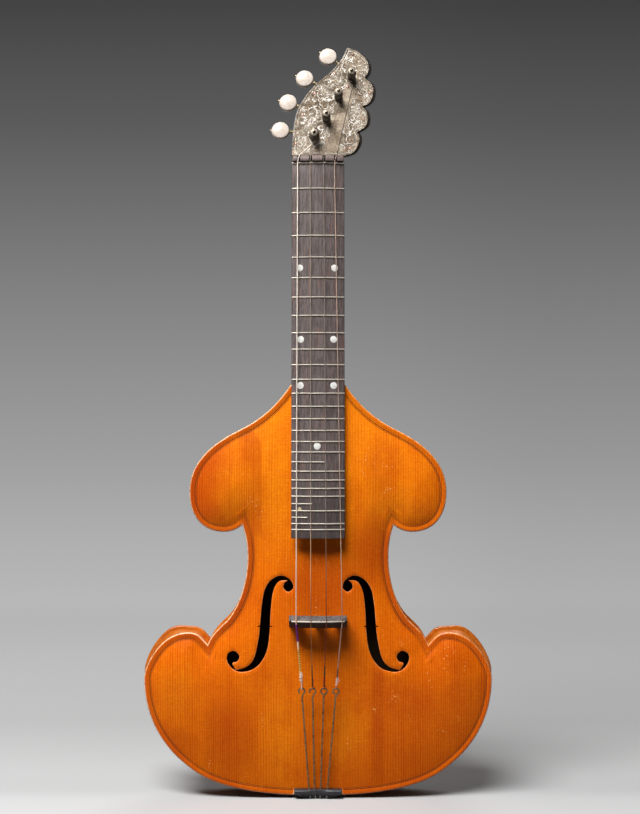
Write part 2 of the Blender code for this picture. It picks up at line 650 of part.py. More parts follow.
def build_bridge():
    base = FRONT_Y - max(arch(0, z) for z in (BRIDGE_Z - 4.6, BRIDGE_Z + 4.6)) - GAP
    rings = []
    for x in np.linspace(-20.3, 20.3, 9):
        y = saddle_top(x) + 1.1
        # The upper side leans out from a narrow foot, and the lower side is nearly upright.
        rings.append([(x, base, BRIDGE_Z - 4.6), (x, y + 4.5, BRIDGE_Z - 5.0), (x, y, BRIDGE_Z - 0.7),
                      (x, y, BRIDGE_Z + 0.7), (x, y + 4.5, BRIDGE_Z + 3.6), (x, base, BRIDGE_Z + 1.8)])
    bridge = loft("bridge", rings)
    for side, x in (("left", -7.2), ("right", 7.2)):
        bow = [(x + 4.7 * math.cos(a), base - 9.0 * math.sin(a)) for a in np.linspace(0, math.pi, 9)]
        bow = [(x + 4.7, base + 4)] + bow + [(x - 4.7, base + 4)]
        tool = loft(f"bridge_arch_{side}", [[(px, py, BRIDGE_Z + z) for px, py in bow] for z in (-8, 8)])
        boolean(bridge, tool)
    dress(bridge, "ebony")
    points = [(x, saddle_top(x) + 0.5, BRIDGE_Z) for x in np.linspace(-19.6, 19.6, 9)]
    tube("bridge_saddle", points, 0.5, "nickel")


# Tail: hooks through the end saddle, which also forms the foot

def hook_y(z):
    """Line of the tail wires from the end saddle up to the bridge."""
    foot = FRONT_Y - 2.2
    return foot - (z - 6.9) * (foot - saddle_top(0) - 0.6) / (BRIDGE_Z - 6.9)


def hook_x(i, z):
    low, high = HOOK_FEET[i][0], STRINGS[i][1]
    return low + (high - low) * (z - 7) / (EYE_Z - 7)


def build_tail():
    y1 = SEAT_Y - GAP
    rings = []
    for x in (-16.7, -12.5, -9, -5, 0, 5, 9, 12.5, 16.7):
        dish = 0.9 * math.cos(x / 9 * math.pi / 2) ** 2 if abs(x) < 9 else 0
        rings.append([(x, -SEAT_Y - GAP, 2.8), (x, -SEAT_Y - GAP, 6.9), (x, FRONT_Y - 2.8, 6.9),
                      (x, FRONT_Y - 4.0 + dish, 5.6 - dish), (x, FRONT_Y - 3.6 + dish, 2.8)])
    saddle = loft("end_saddle", rings)
    h = FOOT_HALF
    foot = [(-h - 3, 1.9), (-h, 0), (h, 0), (h + 3, 1.9), (h + 3, 4.1), (-h - 3, 4.1)]
    boolean(saddle, body_prism("foot", foot, FRONT_Y - 0.6, y1), "UNION")
    deep = FRONT_Y - 1.6    # the wires' line inside the end saddle
    for i in range(4):
        x_up, x_low = HOOK_FEET[i]
        lift = Vector((x_up - x_low, hook_y(6.9) - deep, 6.9 - 2.2))
        place = frame((x_low, deep, 2.2), *lift.to_track_quat("Z", "Y").to_matrix().transposed())
        boolean(saddle, lathe(f"hook_way_{i + 1}", [(0.85, -3), (0.85, 9)], 8, place))
        place = frame((x_low, FRONT_Y + 3.8, 1.3), (1, 0, 0), (0, 0, 1), (0, -1, 0))
        boolean(saddle, lathe(f"hook_seat_{i + 1}", [(0.8, 0), (0.8, 9)], 8, place))
    dress(saddle, "ebony")
    for i in range(4):
        x_up, x_low = HOOK_FEET[i]
        x, z = STRINGS[i][1], EYE_Z
        points = [(x_low, deep + 4.4, 1.3), (x_low, deep + 0.8, 1.3), (x_low, deep + 0.1, 1.7), (x_low, deep, 2.3),
                  (x_up, hook_y(6.9), 6.9), (hook_x(i, z - 5.0), hook_y(z - 5.0), z - 5.0)]
        turn = 215 if i < 2 else 250
        for a in np.linspace(-50, turn, 12):
            px = x + EYE_R * math.cos(math.radians(a))
            pz = z + EYE_R * math.sin(math.radians(a))
            points.append((px, hook_y(pz), pz))
        tube(f"tail_hook_{i + 1}", points, HOOK_WIRE, "steel")


# Strings and their windings

def leave_point(i):
    """Where a string meets its post: contact point, heading and the free end of the straight run."""
    r, _, _, _, x_nut = STRINGS[i]
    rc = SPOOL_R + 0.15 + r
    nut = Vector((x_nut, 0.0))
    post = Vector(POSTS[i])
    run = post - nut
    g = math.atan2(run.y, run.x) - math.asin(rc / run.length)
    touch = post + Vector((math.sin(g), -math.cos(g))) * rc
    clear = math.sqrt((rc + 2 * r + 0.2) ** 2 - rc ** 2)
    free = touch - Vector((math.cos(g), math.sin(g))) * clear
    return touch, g, free, rc


def build_strings():
    looks = ("silver", "dark_steel", "dark_steel", "copper")
    for i, (r, x_hook, x_bridge, x_zero, x_nut) in enumerate(STRINGS):
        z_top = EYE_Z + EYE_R
        y_top = hook_y(z_top)
        bend = r + HOOK_WIRE + 0.15
        points = [(x_hook, y_top + bend * 0.7, z_top + 5.5), (x_hook, y_top + bend, z_top + 1.2)]
        for a in np.linspace(0, math.pi, 6):
            points.append((x_hook, y_top + bend * math.cos(a), z_top - bend * math.sin(a)))
        lift = string_y(i, BRIDGE_Z)
        points += [(x_bridge, lift + 0.02, BRIDGE_Z - 0.6), (x_bridge, lift, BRIDGE_Z)]
        points += [(x_zero, string_y(i, ZERO_FRET_Z), ZERO_FRET_Z),
                   (x_nut, string_y(i, ZERO_FRET_Z) + 0.1, NUT_TOP_Z)]
        touch, g, free, rc = leave_point(i)
        points.append(head_point(free.x, free.y, COIL_FOOT))
        tube(f"string_{i + 1}", points, r, looks[i])
        # One unbroken helix climbs the post from the point where the string meets it.
        turns, per = 3, 16
        pitch = 2 * r + 0.5
        coil = []
        for k in range(turns * per + 1):
            a = g - math.pi / 2 + 2 * math.pi * k / per
            x, s = POSTS[i][0] + rc * math.cos(a), POSTS[i][1] + rc * math.sin(a)
            coil.append(head_point(x, s, COIL_FOOT + pitch * k / per))
        arr = np.array([tuple(p) for p in coil])
        far = [np.linalg.norm(arr[a] - arr[b]) for a in range(len(arr)) for b in range(a + per // 2, len(arr))]
        print(f"winding_{i + 1}: least gap to itself {min(far) - 2 * r:.2f} mm")
        tube(f"winding_{i + 1}", coil, r, looks[i], post_frame(i).to_translation())


# Head plate, gears and buttons

def build_head():
    plate = head_prism("head_plate", head_loop(), -1.2, 0)
    for i in range(4):
        boolean(plate, lathe(f"plate_hole_{i + 1}", [(2.15, -6), (2.15, 6)], 12, post_frame(i)))
    dress(plate, "nickel")
    inner = [(-8.9, 10.1), (3.2, 10.1), (17.4, 33.7), (27.3, 51.1), (31.2, 61.2), (31.2, 69.2), (26.8, 73.4),
             (18.8, 71.9), (-8.9, 19.9)]
    bed = head_prism("tuner_bed", inner, -7.1, -6.4)
    for i in range(4):
        place, reach, _ = station(i)
        for tag, z in (("inner", -3.9), ("outer", 2.9)):
            ear = [[place @ Vector((x, y, z + dz)) for x, y in ((-2.2, -3.1), (2.2, -3.1), (2.2, 1.8), (-2.2, 1.8))]
                   for dz in (0, 1.0)]
            boolean(bed, loft(f"ear_{tag}_{i + 1}", ear), "UNION")
        boolean(bed, lathe(f"ear_hole_{i + 1}", [(1.4, -6), (1.4, 6)], 12, place))
        boolean(bed, lathe(f"bed_hole_{i + 1}", [(2.0, -9), (2.0, -5)], 12, post_frame(i)))
    dress(bed, "brass")


def build_tuner(i):
    place, reach, origin = station(i)
    # Post: journal, flange, spool, collar and small round tip
    at = post_frame(i)
    centre = at.to_translation()
    r, top = SPOOL_R, POST_HEIGHT
    profile = [(1.6, -9.6), (1.6, 0.5), (2.9, 0.5), (2.9, 1.3), (r, 1.6), (r, top - 3.3), (2.6, top - 3.0),
               (2.6, top - 2.2), (1.1, top - 1.4), (1.1, top - 0.3), (0, top)]
    dress(lathe(f"post_{i + 1}", profile, 12, at, centre), "nickel")
    # Gear: a valley faces the worm at rest, and both faces are turned a little to follow its thread
    middle = place @ Vector((CENTRES, 0, 0))
    pitch = math.pi * MODULE
    lead = 0.8 / WORM_PITCH_R * pitch / (2 * math.pi) / GEAR_R
    rings = []
    for h, twist in ((-0.8, -lead), (0.8, lead)):
        ring = []
        for k in range(TEETH):
            mid = math.pi + 2 * math.pi * (k + 0.5) / TEETH
            for rad, wide in ((3.38, -0.47), (4.42, -0.16), (4.42, 0.16), (3.38, 0.47)):
                # Local Y is the post's axis, so a turn about it takes X towards minus Z.
                a = mid + twist + wide / rad
                ring.append(place @ Vector((CENTRES + rad * math.cos(a), h, -rad * math.sin(a))))
        rings.append(ring)
    gear = loft(f"gear_{i + 1}", rings, middle)
    boolean(gear, lathe(f"gear_bore_{i + 1}", [(1.85, -6), (1.85, 0)], 12, at))
    dress(gear, "brass")
    # Worm: one right-hand thread on a shaft that runs through the button to a riveted end
    shaft = [(1.0, -4.3), (1.0, reach - 8.0), (1.8, reach - 7.8), (1.8, reach - 7.1), (1.4, reach - 6.8),
             (0.9, reach - 6.8), (0.9, reach + 6.7), (1.3, reach + 6.7), (1.2, reach + 7.3), (0, reach + 7.6)]
    worm = lathe(f"worm_{i + 1}", shaft, 10, place, origin)
    turns, per = 2.6, 10
    rings = []
    for k in range(int(turns * per) + 1):
        a = 2 * math.pi * (k / per - turns / 2)
        z = pitch * a / (2 * math.pi)
        c, s = math.cos(a), math.sin(a)
        rings.append([place @ Vector((rad * c, rad * s, z + dz))
                      for rad, dz in ((0.7, -0.42), (0.7, 0.42), (2.02, 0.14), (2.02, -0.14))])
    boolean(worm, loft(f"worm_thread_{i + 1}", rings), "UNION")
    dress(worm, "steel")
    # Button: a thick disc that lies parallel to the head plate at rest
    hub = place @ Vector((0, 0, reach))
    disc = frame(hub, HEAD_X, HEAD_S, HEAD_N)
    profile = [(0, -2.6), (5.3, -2.45), (6.3, -1.6), (BUTTON_R, 0), (6.3, 1.6), (5.3, 2.45), (0, 2.6)]
    button = lathe(f"button_{i + 1}", profile, 18, disc, origin)
    boolean(button, lathe(f"button_bore_{i + 1}", [(1.15, reach - 12), (1.15, reach + 12)], 10, place))
    dress(button, "pearl")


build_plates()
build_ribs()
build_inside()
build_neck()
build_fingerboard()
build_nut()
build_bridge()
build_tail()
build_strings()
build_head()
for number in range(4):
    build_tuner(number)
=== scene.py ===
import functools
import math

import bmesh
import bpy
import numpy as np
from mathutils import Matrix, Vector, geometry


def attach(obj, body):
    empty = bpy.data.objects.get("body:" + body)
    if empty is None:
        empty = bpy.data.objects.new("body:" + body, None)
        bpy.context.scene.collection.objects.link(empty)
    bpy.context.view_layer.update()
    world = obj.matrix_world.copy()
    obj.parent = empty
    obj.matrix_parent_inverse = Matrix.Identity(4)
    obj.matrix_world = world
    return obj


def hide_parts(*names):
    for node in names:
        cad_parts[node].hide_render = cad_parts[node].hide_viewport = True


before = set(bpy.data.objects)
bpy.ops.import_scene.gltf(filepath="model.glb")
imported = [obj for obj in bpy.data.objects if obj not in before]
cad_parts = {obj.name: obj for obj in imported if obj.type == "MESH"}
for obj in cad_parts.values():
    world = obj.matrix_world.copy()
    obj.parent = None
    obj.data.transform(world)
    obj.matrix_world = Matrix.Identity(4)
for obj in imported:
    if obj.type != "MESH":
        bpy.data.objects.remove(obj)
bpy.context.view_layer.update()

MM = 0.001

# The same values as the solids have
RIB_HALF = 16.0
RIB_INSET, RIB_WALL = 2.7, 1.5
FRONT_Y = -19.8
BACK_Y = 19.8
TOP_Z = 294.5
BRIDGE_Z = 128.9
ZERO_FRET_Z = 453.9
NUT_TOP_Z = 459.4
BOARD_END_Z = 186.2
ZERO_CREST_Y = -11.4
ZERO_RISE = 1.2      # height of the zero fret over the board
BOARD_SLOPE = 0.0945
BOARD_CAMBER = 60.0
BOARD_HALF = 19.0
BOARD_DEPTH = 5.988
NECK_HALF = 18.6
FRET_SCALE = 332.5
FRET_COUNT = 27
SADDLE_REACH = 33.285
ARCH = 6.5
BACK_FLARE, FLARE_LOW, FLARE_HIGH = 3.3, 30.0, 80.0
NICK_Z = 123.0       # height of the nicks in the f-holes
HEAD_LEAN = math.radians(14)
HEAD_FOOT = Vector((0, -6.5, 457.9))
CORE_WIDER = 1.6     # how far the head's wood shows past its plate on the right
PLATE_THICK = 1.2    # of the head plate
RECESS_DEPTH = 7.4   # of the hollow for the gears, under the face of the plate
POST_SEAT = 10.2     # depth of a post's seat
BAND_SLOPE = 0.285   # lean of the plain band on the head plate
POST_TOP = 13.6
SPOOL_R = 2.2
COIL_FOOT = 3.8
WORM_DROP = 3.6
CENTRES = 5.6
EYE_Z, EYE_R, HOOK_WIRE = 79.0, 2.1, 0.6
EYE_NECK = 4.6       # how far below an eye's middle its wire begins to bend
END_SADDLE_Z = 6.9   # upper face of the end saddle, where the tail wires leave it
CAMERA = Vector((0.00142, -1.2198, 0.2787))   # in metres
LENS = 74.54

LOWER = [(0, 1.8, 0, 0, 68.4), (94.3, 24.0, 38.5, 11.8, 19.7), (123.9, 85.7, 90, 29.5, 7.5),
         (92.7, 118.0, 180, 20.5, 8), (78.7, 109.3, 225, 6, 0)]
WAIST = [(78.7, 109.3, 112, 0, 8), (65.5, 125.9, 136, 8, 9), (50.2, 172.0, 90, 22, 9),
         (53.9, 194.7, 72, 8, 0)]
UPPER = [(53.9, 194.7, -42, 0, 5), (67.0, 189.7, 0, 5, 15), (91.6, 218.2, 90, 18, 17.1),
         (55.5, 262.6, 154, 28.7, 20), (19.5, TOP_Z, 124, 14, 0)]
F_OUTER = [(21.8, 155.8), (24.0, 153.5), (24.4, 150.1), (21.0, 147.5), (17.6, 150.3), (18.3, 154.3),
           (21.5, 157.7), (26.0, 159.1), (30.9, 157.6), (35.4, 153.6), (38.5, 146.9), (40.1, 136.5),
           (41.2, 123.6), (42.3, 113.7), (45.3, 100.8), (50.3, 94.6), (58.0, 92.0)]
F_INNER = [(58.0, 92.0), (60.7, 96.6), (57.5, 97.8), (55.7, 101.5), (57.5, 104.5), (60.3, 105.5),
           (63.7, 103.8), (64.9, 100.3), (63.5, 95.8), (59.7, 92.1), (54.0, 90.6), (45.8, 92.6),
           (39.9, 98.3), (35.9, 107.2), (34.2, 120.1), (33.5, 134.5), (31.9, 147.4), (28.0, 154.6),
           (21.8, 155.8)]
HEAD_RUNS = [
    [(-18.5, 2.2), (-18.2, 12), (-17.2, 23.5), (-14.9, 35.9), (-9.4, 47.2), (-1.6, 57.2), (9.4, 67.3),
     (17.3, 77.1), (21.7, 86.3)],
    [(21.7, 86.3), (28.7, 83.4), (34.6, 78), (36.9, 72.3), (36.3, 66.5), (33.8, 62.4)],
    [(33.8, 62.4), (38.2, 58.7), (40.1, 53.4), (39.2, 46.6), (36.4, 42.3), (32, 40)],
    [(32, 40), (34.8, 36.6), (36, 30.5), (34.2, 24.4), (28.1, 20.1)],
    [(28.1, 20.1), (29.7, 16.6), (29.3, 11.2), (26, 5), (21.4, 2.6), (17.7, 2)],
]
RECESS = [(-9.5, 9.5), (3.5, 9.5), (18, 33.5), (28, 51), (31.8, 61), (31.8, 69.5), (27, 74.0), (18.5, 72.5),
          (-9.5, 20)]
POSTS = [(-2.8, 15.2), (5.9, 30.0), (14.7, 47.0), (24.2, 62.8)]
BUTTONS = [(-27.3, 22.3), (-21.8, 44.0), (-9.8, 62.9), (7.3, 80.3)]
CORNERS = (LOWER[-1][:2], WAIST[-1][:2])
# Strings from left to right: radius, then x at the tail hook, bridge, zero fret and nut
STRINGS = [(0.45, -11.4, -15.3, -14.6, -13.3), (0.25, -3.8, -5.0, -5.6, -5.0),
           (0.25, 4.2, 5.9, 4.1, 4.4), (0.30, 12.7, 16.9, 11.8, 13.4)]
HOOK_FEET = [(-6.4, -5.6), (-2.5, -2.0), (1.8, 1.4), (6.75, 6.2)]   # x above and below the end saddle
SCREWS = [(25.3, 81.2), (12.1, 65.7), (-2.3, 50.0), (-11.3, 33.4), (37.5, 50.6), (32.8, 29.7), (23.1, 7.4),
          (-16.0, 11.1), (21.3, 55.6)]


# Shader maths

def operator(operation):
    """A method that makes a maths node of two values."""
    return lambda a, b: a.finish.node("ShaderNodeMath", {"operation": operation}, {0: a, 1: b})


class Value:
    """A shader socket that takes part in Python arithmetic."""

    def __init__(self, finish, socket):
        self.finish, self.socket = finish, socket

    __add__, __sub__, __mul__, __truediv__, __pow__, larger = map(operator, (
        "ADD", "SUBTRACT", "MULTIPLY", "DIVIDE", "POWER", "MAXIMUM"))

    def __rsub__(self, other):
        return self.finish.node("ShaderNodeMath", {"operation": "SUBTRACT"}, {0: other, 1: self})

    def size(self):
        return self.finish.node("ShaderNodeMath", {"operation": "ABSOLUTE"}, {0: self})

    def wave(self):
        """Sine of the value, from 0 to 1."""
        return self.finish.node("ShaderNodeMath", {"operation": "SINE"}, {0: self}) * 0.5 + 0.5

    def between(self, low, high):
        """A smooth step from 0 at low to 1 at high."""
        return self.finish.node("ShaderNodeMapRange", {"interpolation_type": "SMOOTHSTEP"},
                                {"Value": self, "From Min": low, "From Max": high})


def largest(values):
    """The largest of several values at every point."""
    return functools.reduce(Value.larger, values)


def span(a, b):
    """Distance made up of two steps at right angles."""
    return (a ** 2 + b ** 2) ** 0.5


class Finish:
    """One material: a Principled shader with its constants, and the nodes that drive it."""

    def __init__(self, name, **constants):
        self.material = bpy.data.materials.new(name)
        self.material.use_nodes = True
        self.tree = self.material.node_tree
        self.shader = self.tree.nodes["Principled BSDF"]
        self.tone = None
        for socket, value in constants.items():
            self.shader.inputs[socket.replace("_", " ")].default_value = value
        place = self.node("ShaderNodeTexCoord", out="Object")
        self.p = self.node("ShaderNodeVectorMath", {"operation": "SCALE"}, {0: place, "Scale": 1 / MM})
        self.x, self.y, self.z = (self.node("ShaderNodeSeparateXYZ", {}, {0: self.p}, i) for i in range(3))

    def node(self, kind, settings=None, sockets=None, out=0):
        made = self.tree.nodes.new(kind)
        for key, value in (settings or {}).items():
            setattr(made, key, value)
        for key, value in (sockets or {}).items():
            socket = made.inputs[key]
            if isinstance(value, Value):
                self.tree.links.new(value.socket, socket)
            elif socket.type == "RGBA":
                socket.default_value = (*value, 1)
            else:
                socket.default_value = value
        return Value(self, made.outputs[out])

    def vector(self, operation, a, b, out=0):
        return self.node("ShaderNodeVectorMath", {"operation": operation}, {0: a, 1: b}, out)

    def rotated(self, axis, angle, centre=(0, 0, 0)):
        return self.node("ShaderNodeVectorRotate", {"rotation_type": "AXIS_ANGLE"},
                         {"Vector": self.p, "Center": centre, "Axis": axis, "Angle": angle})

    def stretched(self, by, place=None):
        """A place times waves per millimetre: one number, or one each along x, y and z."""
        return self.vector("MULTIPLY", place or self.p, (by,) * 3 if isinstance(by, (int, float)) else by)

    def noise(self, by, detail=2.0, rough=0.5, place=None):
        return self.node("ShaderNodeTexNoise", {}, {"Vector": place or self.stretched(by), "Scale": 1.0,
                                                    "Detail": detail, "Roughness": rough})

    def cells(self, by):
        """Distance to the nearest of scattered points."""
        return self.node("ShaderNodeTexVoronoi", {"feature": "F1"},
                         {"Vector": self.stretched(by), "Scale": 1.0}, "Distance")

    def mix(self, share, a, b, blend="MIX"):
        return self.node("ShaderNodeMix", {"data_type": "RGBA", "blend_type": blend},
                         {0: share, 6: a, 7: b}, 2)

    def lay(self, share, colour, blend="MIX"):
        """Lays a colour over the tone so far."""
        self.tone = self.mix(share, self.tone, colour, blend)

    def ramp(self, value, *stops):
        """A run of colours; stops are (place, colour)."""
        made = self.node("ShaderNodeValToRGB", {}, {0: value})
        elements = made.socket.node.color_ramp.elements
        while len(elements) < len(stops):
            elements.new(0.5)
        for element, (at, colour) in zip(elements, stops):
            element.position, element.color = at, (*colour, 1)
        return made

    def attribute(self, name):
        return self.node("ShaderNodeAttribute", {"attribute_name": name}, {}, "Fac")

    def paint(self, rough, relief, **others):
        """Drives the shader with the tone, a roughness, a relief in millimetres and any other values."""
        bump = self.node("ShaderNodeBump", {}, {"Height": relief, "Distance": MM, "Strength": 1.0})
        for socket, value in dict(others, Base_Color=self.tone, Roughness=rough, Normal=bump).items():
            self.tree.links.new(value.socket, self.shader.inputs[socket.replace("_", " ")])
        return self


# Finishes

def marks(finish, spots):
    """Short bright scratches: thin streaks at three angles, mostly inside the given spots (x, z, radius)."""
    near = [finish.noise((0.045, 0.045, 0.03)).between(0.66, 0.74) * 0.7]
    near += [span(finish.x - x, finish.z - z).between(radius, radius * 0.35) for x, z, radius in spots]
    streaks = []
    for k, (angle, across, along) in enumerate(((0.12, 1.5, 0.09), (0.9, 1.1, 0.13), (-0.7, 1.2, 0.12))):
        slanted = finish.stretched((across, 0.1, along), finish.rotated((0, 1, 0), angle))
        place = finish.vector("ADD", slanted, (2.0 + 7.3 * k, 0, 3.1 * k))
        streaks.append(finish.noise(None, 1.5, place=place).between(0.69, 0.735))
    return largest(streaks) * largest(near)


def stroke(finish, start, end, waver):
    """One thin scratch on the front between two points (x, z)."""
    half_width = 0.42
    run, rise = end[0] - start[0], end[1] - start[1]
    across, up = finish.x + waver - start[0], finish.z - start[1]
    along = ((across * run + up * rise) * (1 / (run * run + rise * rise))).between(0, 1)
    return span(across - along * run, up - along * rise).between(half_width, half_width * 0.4)


def spot(finish, uneven, x, z, wide, high, blur=0.3):
    """A soft oval mask on the front, its edge broken up by a noise."""
    gap = span((finish.x - x) * (1 / wide), (finish.z - z) * (1 / high)) + (uneven - 0.5) * 0.9
    return gap.between(1.0, blur)


def stain_spruce(f, cloud, side):
    """Darker, redder and yellower places in the soundboard's varnish."""
    # Darker, redder places; the first two end sharply where the wings of the plate are joined on
    wing = spot(f, cloud, -61, 44, 26, 40) * f.x.between(-41.6, -43.4)
    bend = (f.z - 249).larger(0.0)
    seam = bend * bend * -0.04 - 40.2
    shoulder = f.x.between(seam + 0.7, seam - 0.7) * f.x.between(seam - 19, seam - 7) * f.z.between(184, 196)
    strip = (f.x - 42.6).size().between(5.4, 3.2) * f.z.between(2, 22) * f.z.between(108, 86)
    dark = [wing, shoulder * 0.9, strip * 0.9]
    dark += [spot(f, cloud, x, z, wide, high) * much for x, z, wide, high, much in (
        (-101, 38, 20, 17, 0.7), (60, 70, 27, 20, 0.6), (101, 101, 20, 16, 0.7), (-82, 224, 17, 38, 0.75),
        (47, 238, 18, 34, 0.7), (88, 226, 10, 30, 0.6))]
    f.lay(largest(dark) * 0.4, (0.46, 0.052, 0.003))
    f.lay(side.between(44, 90) * f.z.between(186, 210) * 0.22, (0.52, 0.070, 0.003))
    f.lay(f.x.between(-54, -78) * f.z.between(188, 206) * 0.5, (0.58, 0.066, 0.003))
    f.lay(f.x.between(-30, -56) * f.z.between(112, 128) * f.z.between(200, 184) * 0.3, (0.56, 0.080, 0.004))
    waist = spot(f, cloud, 2, 156, 34, 44).larger(spot(f, cloud, 40, 178, 26, 34) * 0.9)
    f.lay(waist * 0.55, (0.44, 0.045, 0.003))
    # Yellower places where the varnish is thin
    thin = largest(spot(f, cloud, *oval, 0.2) for oval in (
        (-28, 46, 18, 52), (21, 46, 19, 32), (-58, 222, 22, 34), (-31, 236, 11, 60), (-101, 76, 25, 25),
        (28, 262, 12, 26)))
    f.lay(thin * 0.35, (1.0, 0.285, 0.006))


def paint_rim(f, rim, chips):
    """A worn bead with a painted highlight along it, brightest on the left, old varnish in the channel and a
    double line of purfling that fades at the corners.
    """
    worn = f.noise(0.06, 3)
    border = rim.between(4.3, 3.7) * (f.x.between(60, -30) * 0.25 + 0.2) + rim.between(8.0, 5.0) * 0.06
    f.lay(border * (worn.between(0.3, 0.62) * 0.5 + 0.5), (0.48, 0.055, 0.004))
    corner = largest(span(f.x.size() - x, f.z - z).between(17, 6) for x, z in CORNERS)
    line = (rim - 3.95).size().between(0.36, 0.14).larger((rim - 4.85).size().between(0.3, 0.1) * 0.8)
    line = line * (worn.between(0.25, 0.5) * 0.3 + 0.7) * (1 - corner * 0.5)
    f.lay(line, (0.085, 0.024, 0.008))
    # The bead is painted lighter: partly worn varnish, partly a painted highlight along the edge
    bead = rim.between(0.9, 0.35) * (chips.between(0.35, 0.6) * 0.6 + 0.3)
    f.lay(bead * 0.8, (1.0, 0.46, 0.15))
    # Painted highlight: the bead is paler still on the left, where its edge faces the light
    f.lay(rim.between(0.8, 0.35) * f.x.between(40, -30) * 0.7, (1.0, 0.64, 0.38))
    f.lay(rim.between(1.2, 0.4) * chips.between(0.46, 0.38) * 0.45, (0.22, 0.034, 0.006))
    return line


def scratch_spruce(f, chips):
    """Tufts of short marks, single scratches and specks of dust."""
    tufts = marks(f, [
        (36.5, 245, 6), (34, 240, 5), (43, 236, 8), (32, 229, 4), (51, 219, 7), (-47, 209, 8), (-41, 200, 6),
        (92, 103, 9), (78, 86, 6), (54, 71, 6), (-39, 54, 6), (24, 33, 6), (-78, 22, 5), (3, 168, 9),
        (60, 112, 6), (-96, 79, 4), (100, 56, 8), (0, 140, 7), (-2, 130, 6), (40, 63, 6), (-30, 24, 6)])
    f.lay(tufts * 0.35, (1.0, 0.42, 0.10))
    waver = f.noise(0.16, 3) * 4 - 2
    scratch = largest(stroke(f, start, end, waver) for start, end in (
        ((90, 107), (89, 93)), ((92.5, 108), (92, 96)), ((104.8, 97.4), (104.1, 91.8)),
        ((77.2, 89.7), (80.7, 79.8)), ((53.1, 77.6), (55.2, 69.8)), ((56.5, 75), (52.6, 71.5)),
        ((64.4, 60), (65.8, 55.7)), ((85, 49.3), (90.6, 47.9)), ((21.2, 43.6), (20.5, 35.8)),
        ((38.9, 64.9), (41, 64.2)), ((-40, 61.3), (-38.9, 52.1)), ((-77.2, 27.4), (-77.9, 22.4)),
        ((-48.1, 215), (-45.3, 207.9)), ((-42.5, 213), (-44.6, 204.4)), ((-39.5, 208), (-41.5, 201)),
        ((34, 244), (32.6, 238.3)), ((31.9, 234), (32.6, 229.8)), ((46, 236.9), (52.4, 236.2)),
        ((46.7, 217.8), (49.6, 221.4)), ((49.5, 220), (54, 221.4)), ((-1, 142), (-1.6, 131.5))))
    scratch = scratch * chips.between(0.3, 0.5)
    f.lay(scratch * 0.8, (1.0, 0.50, 0.15))
    dust = f.cells(0.17).between(0.08, 0.045)
    f.lay(dust * 0.35, (1.0, 0.48, 0.14))
    return scratch


def spruce_varnish():
    """Orange varnish over straight-grained spruce, with the stains, wear and scratches of long use, and some
    painted shade and highlights.
    """
    f = Finish("spruce_varnish", IOR=1.5, Coat_Roughness=0.22, Specular_IOR_Level=0.1)
    rim, hole = f.attribute("rim"), f.attribute("hole")
    drift = f.noise((0.03, 0.02, 0.004))
    # Year rings: fine dark lines, closer in some places, each one stronger or fainter
    side = (f.x - 4).size()
    phase = side * (side.between(0, 110) * 0.55 + 2.9) + drift * 14.0 + f.noise((0.33, 0.02, 0.002)) * 4.0
    ring = phase.wave() ** 2.0
    strength = f.noise((0.3, 0.02, 0.008), 3, 0.6).between(0.34, 0.68) * 0.6 + 0.4
    fibre = f.noise((2.6, 0.5, 0.045), 3, 0.6)
    flecks = f.noise((0.2, 0.5, 1.5), 3, 0.6)
    grit = f.noise(0.9, 3, 0.7)
    blotch = f.noise((0.022, 0.02, 0.014), 3, 0.55)
    cloud = f.noise((0.07, 0.05, 0.045), 4, 0.6)
    # Darker towards the bottom: partly the varnish's own tone, partly painted shade for the light that falls
    # off down the body
    f.tone = f.ramp(f.z * (1 / 300), (0.0, (0.80, 0.170, 0.003)), (0.28, (0.88, 0.185, 0.003)),
                    (0.5, (0.92, 0.190, 0.003)), (0.66, (1.0, 0.248, 0.004)), (1.0, (1.0, 0.255, 0.005)))
    f.lay(blotch.between(0.35, 0.7) * 0.25, (0.66, 0.095, 0.003))
    f.lay(cloud.between(0.42, 0.68) * 0.3, (0.62, 0.085, 0.003))
    # Painted shade: the lower right of the front is darker, as if the light falls from the left
    f.lay(f.x.between(-30, 80) * f.z.between(190, 90) * 0.28, (0.46, 0.060, 0.003))
    stain_spruce(f, cloud, side)
    # Old dirt along the inner edges of the waist
    f.lay(rim.between(9, 4) * f.z.between(108, 125) * f.z.between(202, 185) * 0.3, (0.34, 0.042, 0.004))
    f.lay(ring * strength * (side.between(10, 75) * 0.45 + 0.4), (0.74, 0.36, 0.2), "MULTIPLY")
    f.lay(fibre.between(0.42, 0.72) * 0.5, (1.14, 1.5, 1.8), "MULTIPLY")
    f.lay(flecks.between(0.46, 0.7) * 0.5, (1.14, 1.45, 1.7), "MULTIPLY")
    f.lay(grit.between(0.35, 0.65) * 0.5, (0.78, 0.60, 0.5), "MULTIPLY")
    chips = f.noise(0.45, 3, 0.6)
    line = paint_rim(f, rim, chips)
    # Paler wood on the edges of the f-holes: partly bare, worn wood, partly a painted highlight where the
    # rounded edges catch the light
    nick = (f.z - NICK_Z).size().between(1.2, 2.5)
    f.lay(hole.between(0.5, 0.25) * chips.between(0.42, 0.58) * nick * 0.6, (0.92, 0.40, 0.14))
    scratch = scratch_spruce(f, chips)
    # The inner side of the plate is bare wood, painted very dark as the shade inside the body
    f.lay(f.y.between(-17.2, -16.6) * rim.between(3, 5), (0.10, 0.055, 0.025))
    relief = ring * 0.012 + fibre * 0.01 - scratch * 0.015 - line * 0.05 + blotch * 0.25
    rough = blotch * 0.12 + scratch * 0.25 + f.noise(0.25, 3) * 0.1 + 0.22
    return f.paint(rough, relief, Coat_Weight=rim.between(1.8, 0.6) * 0.6)


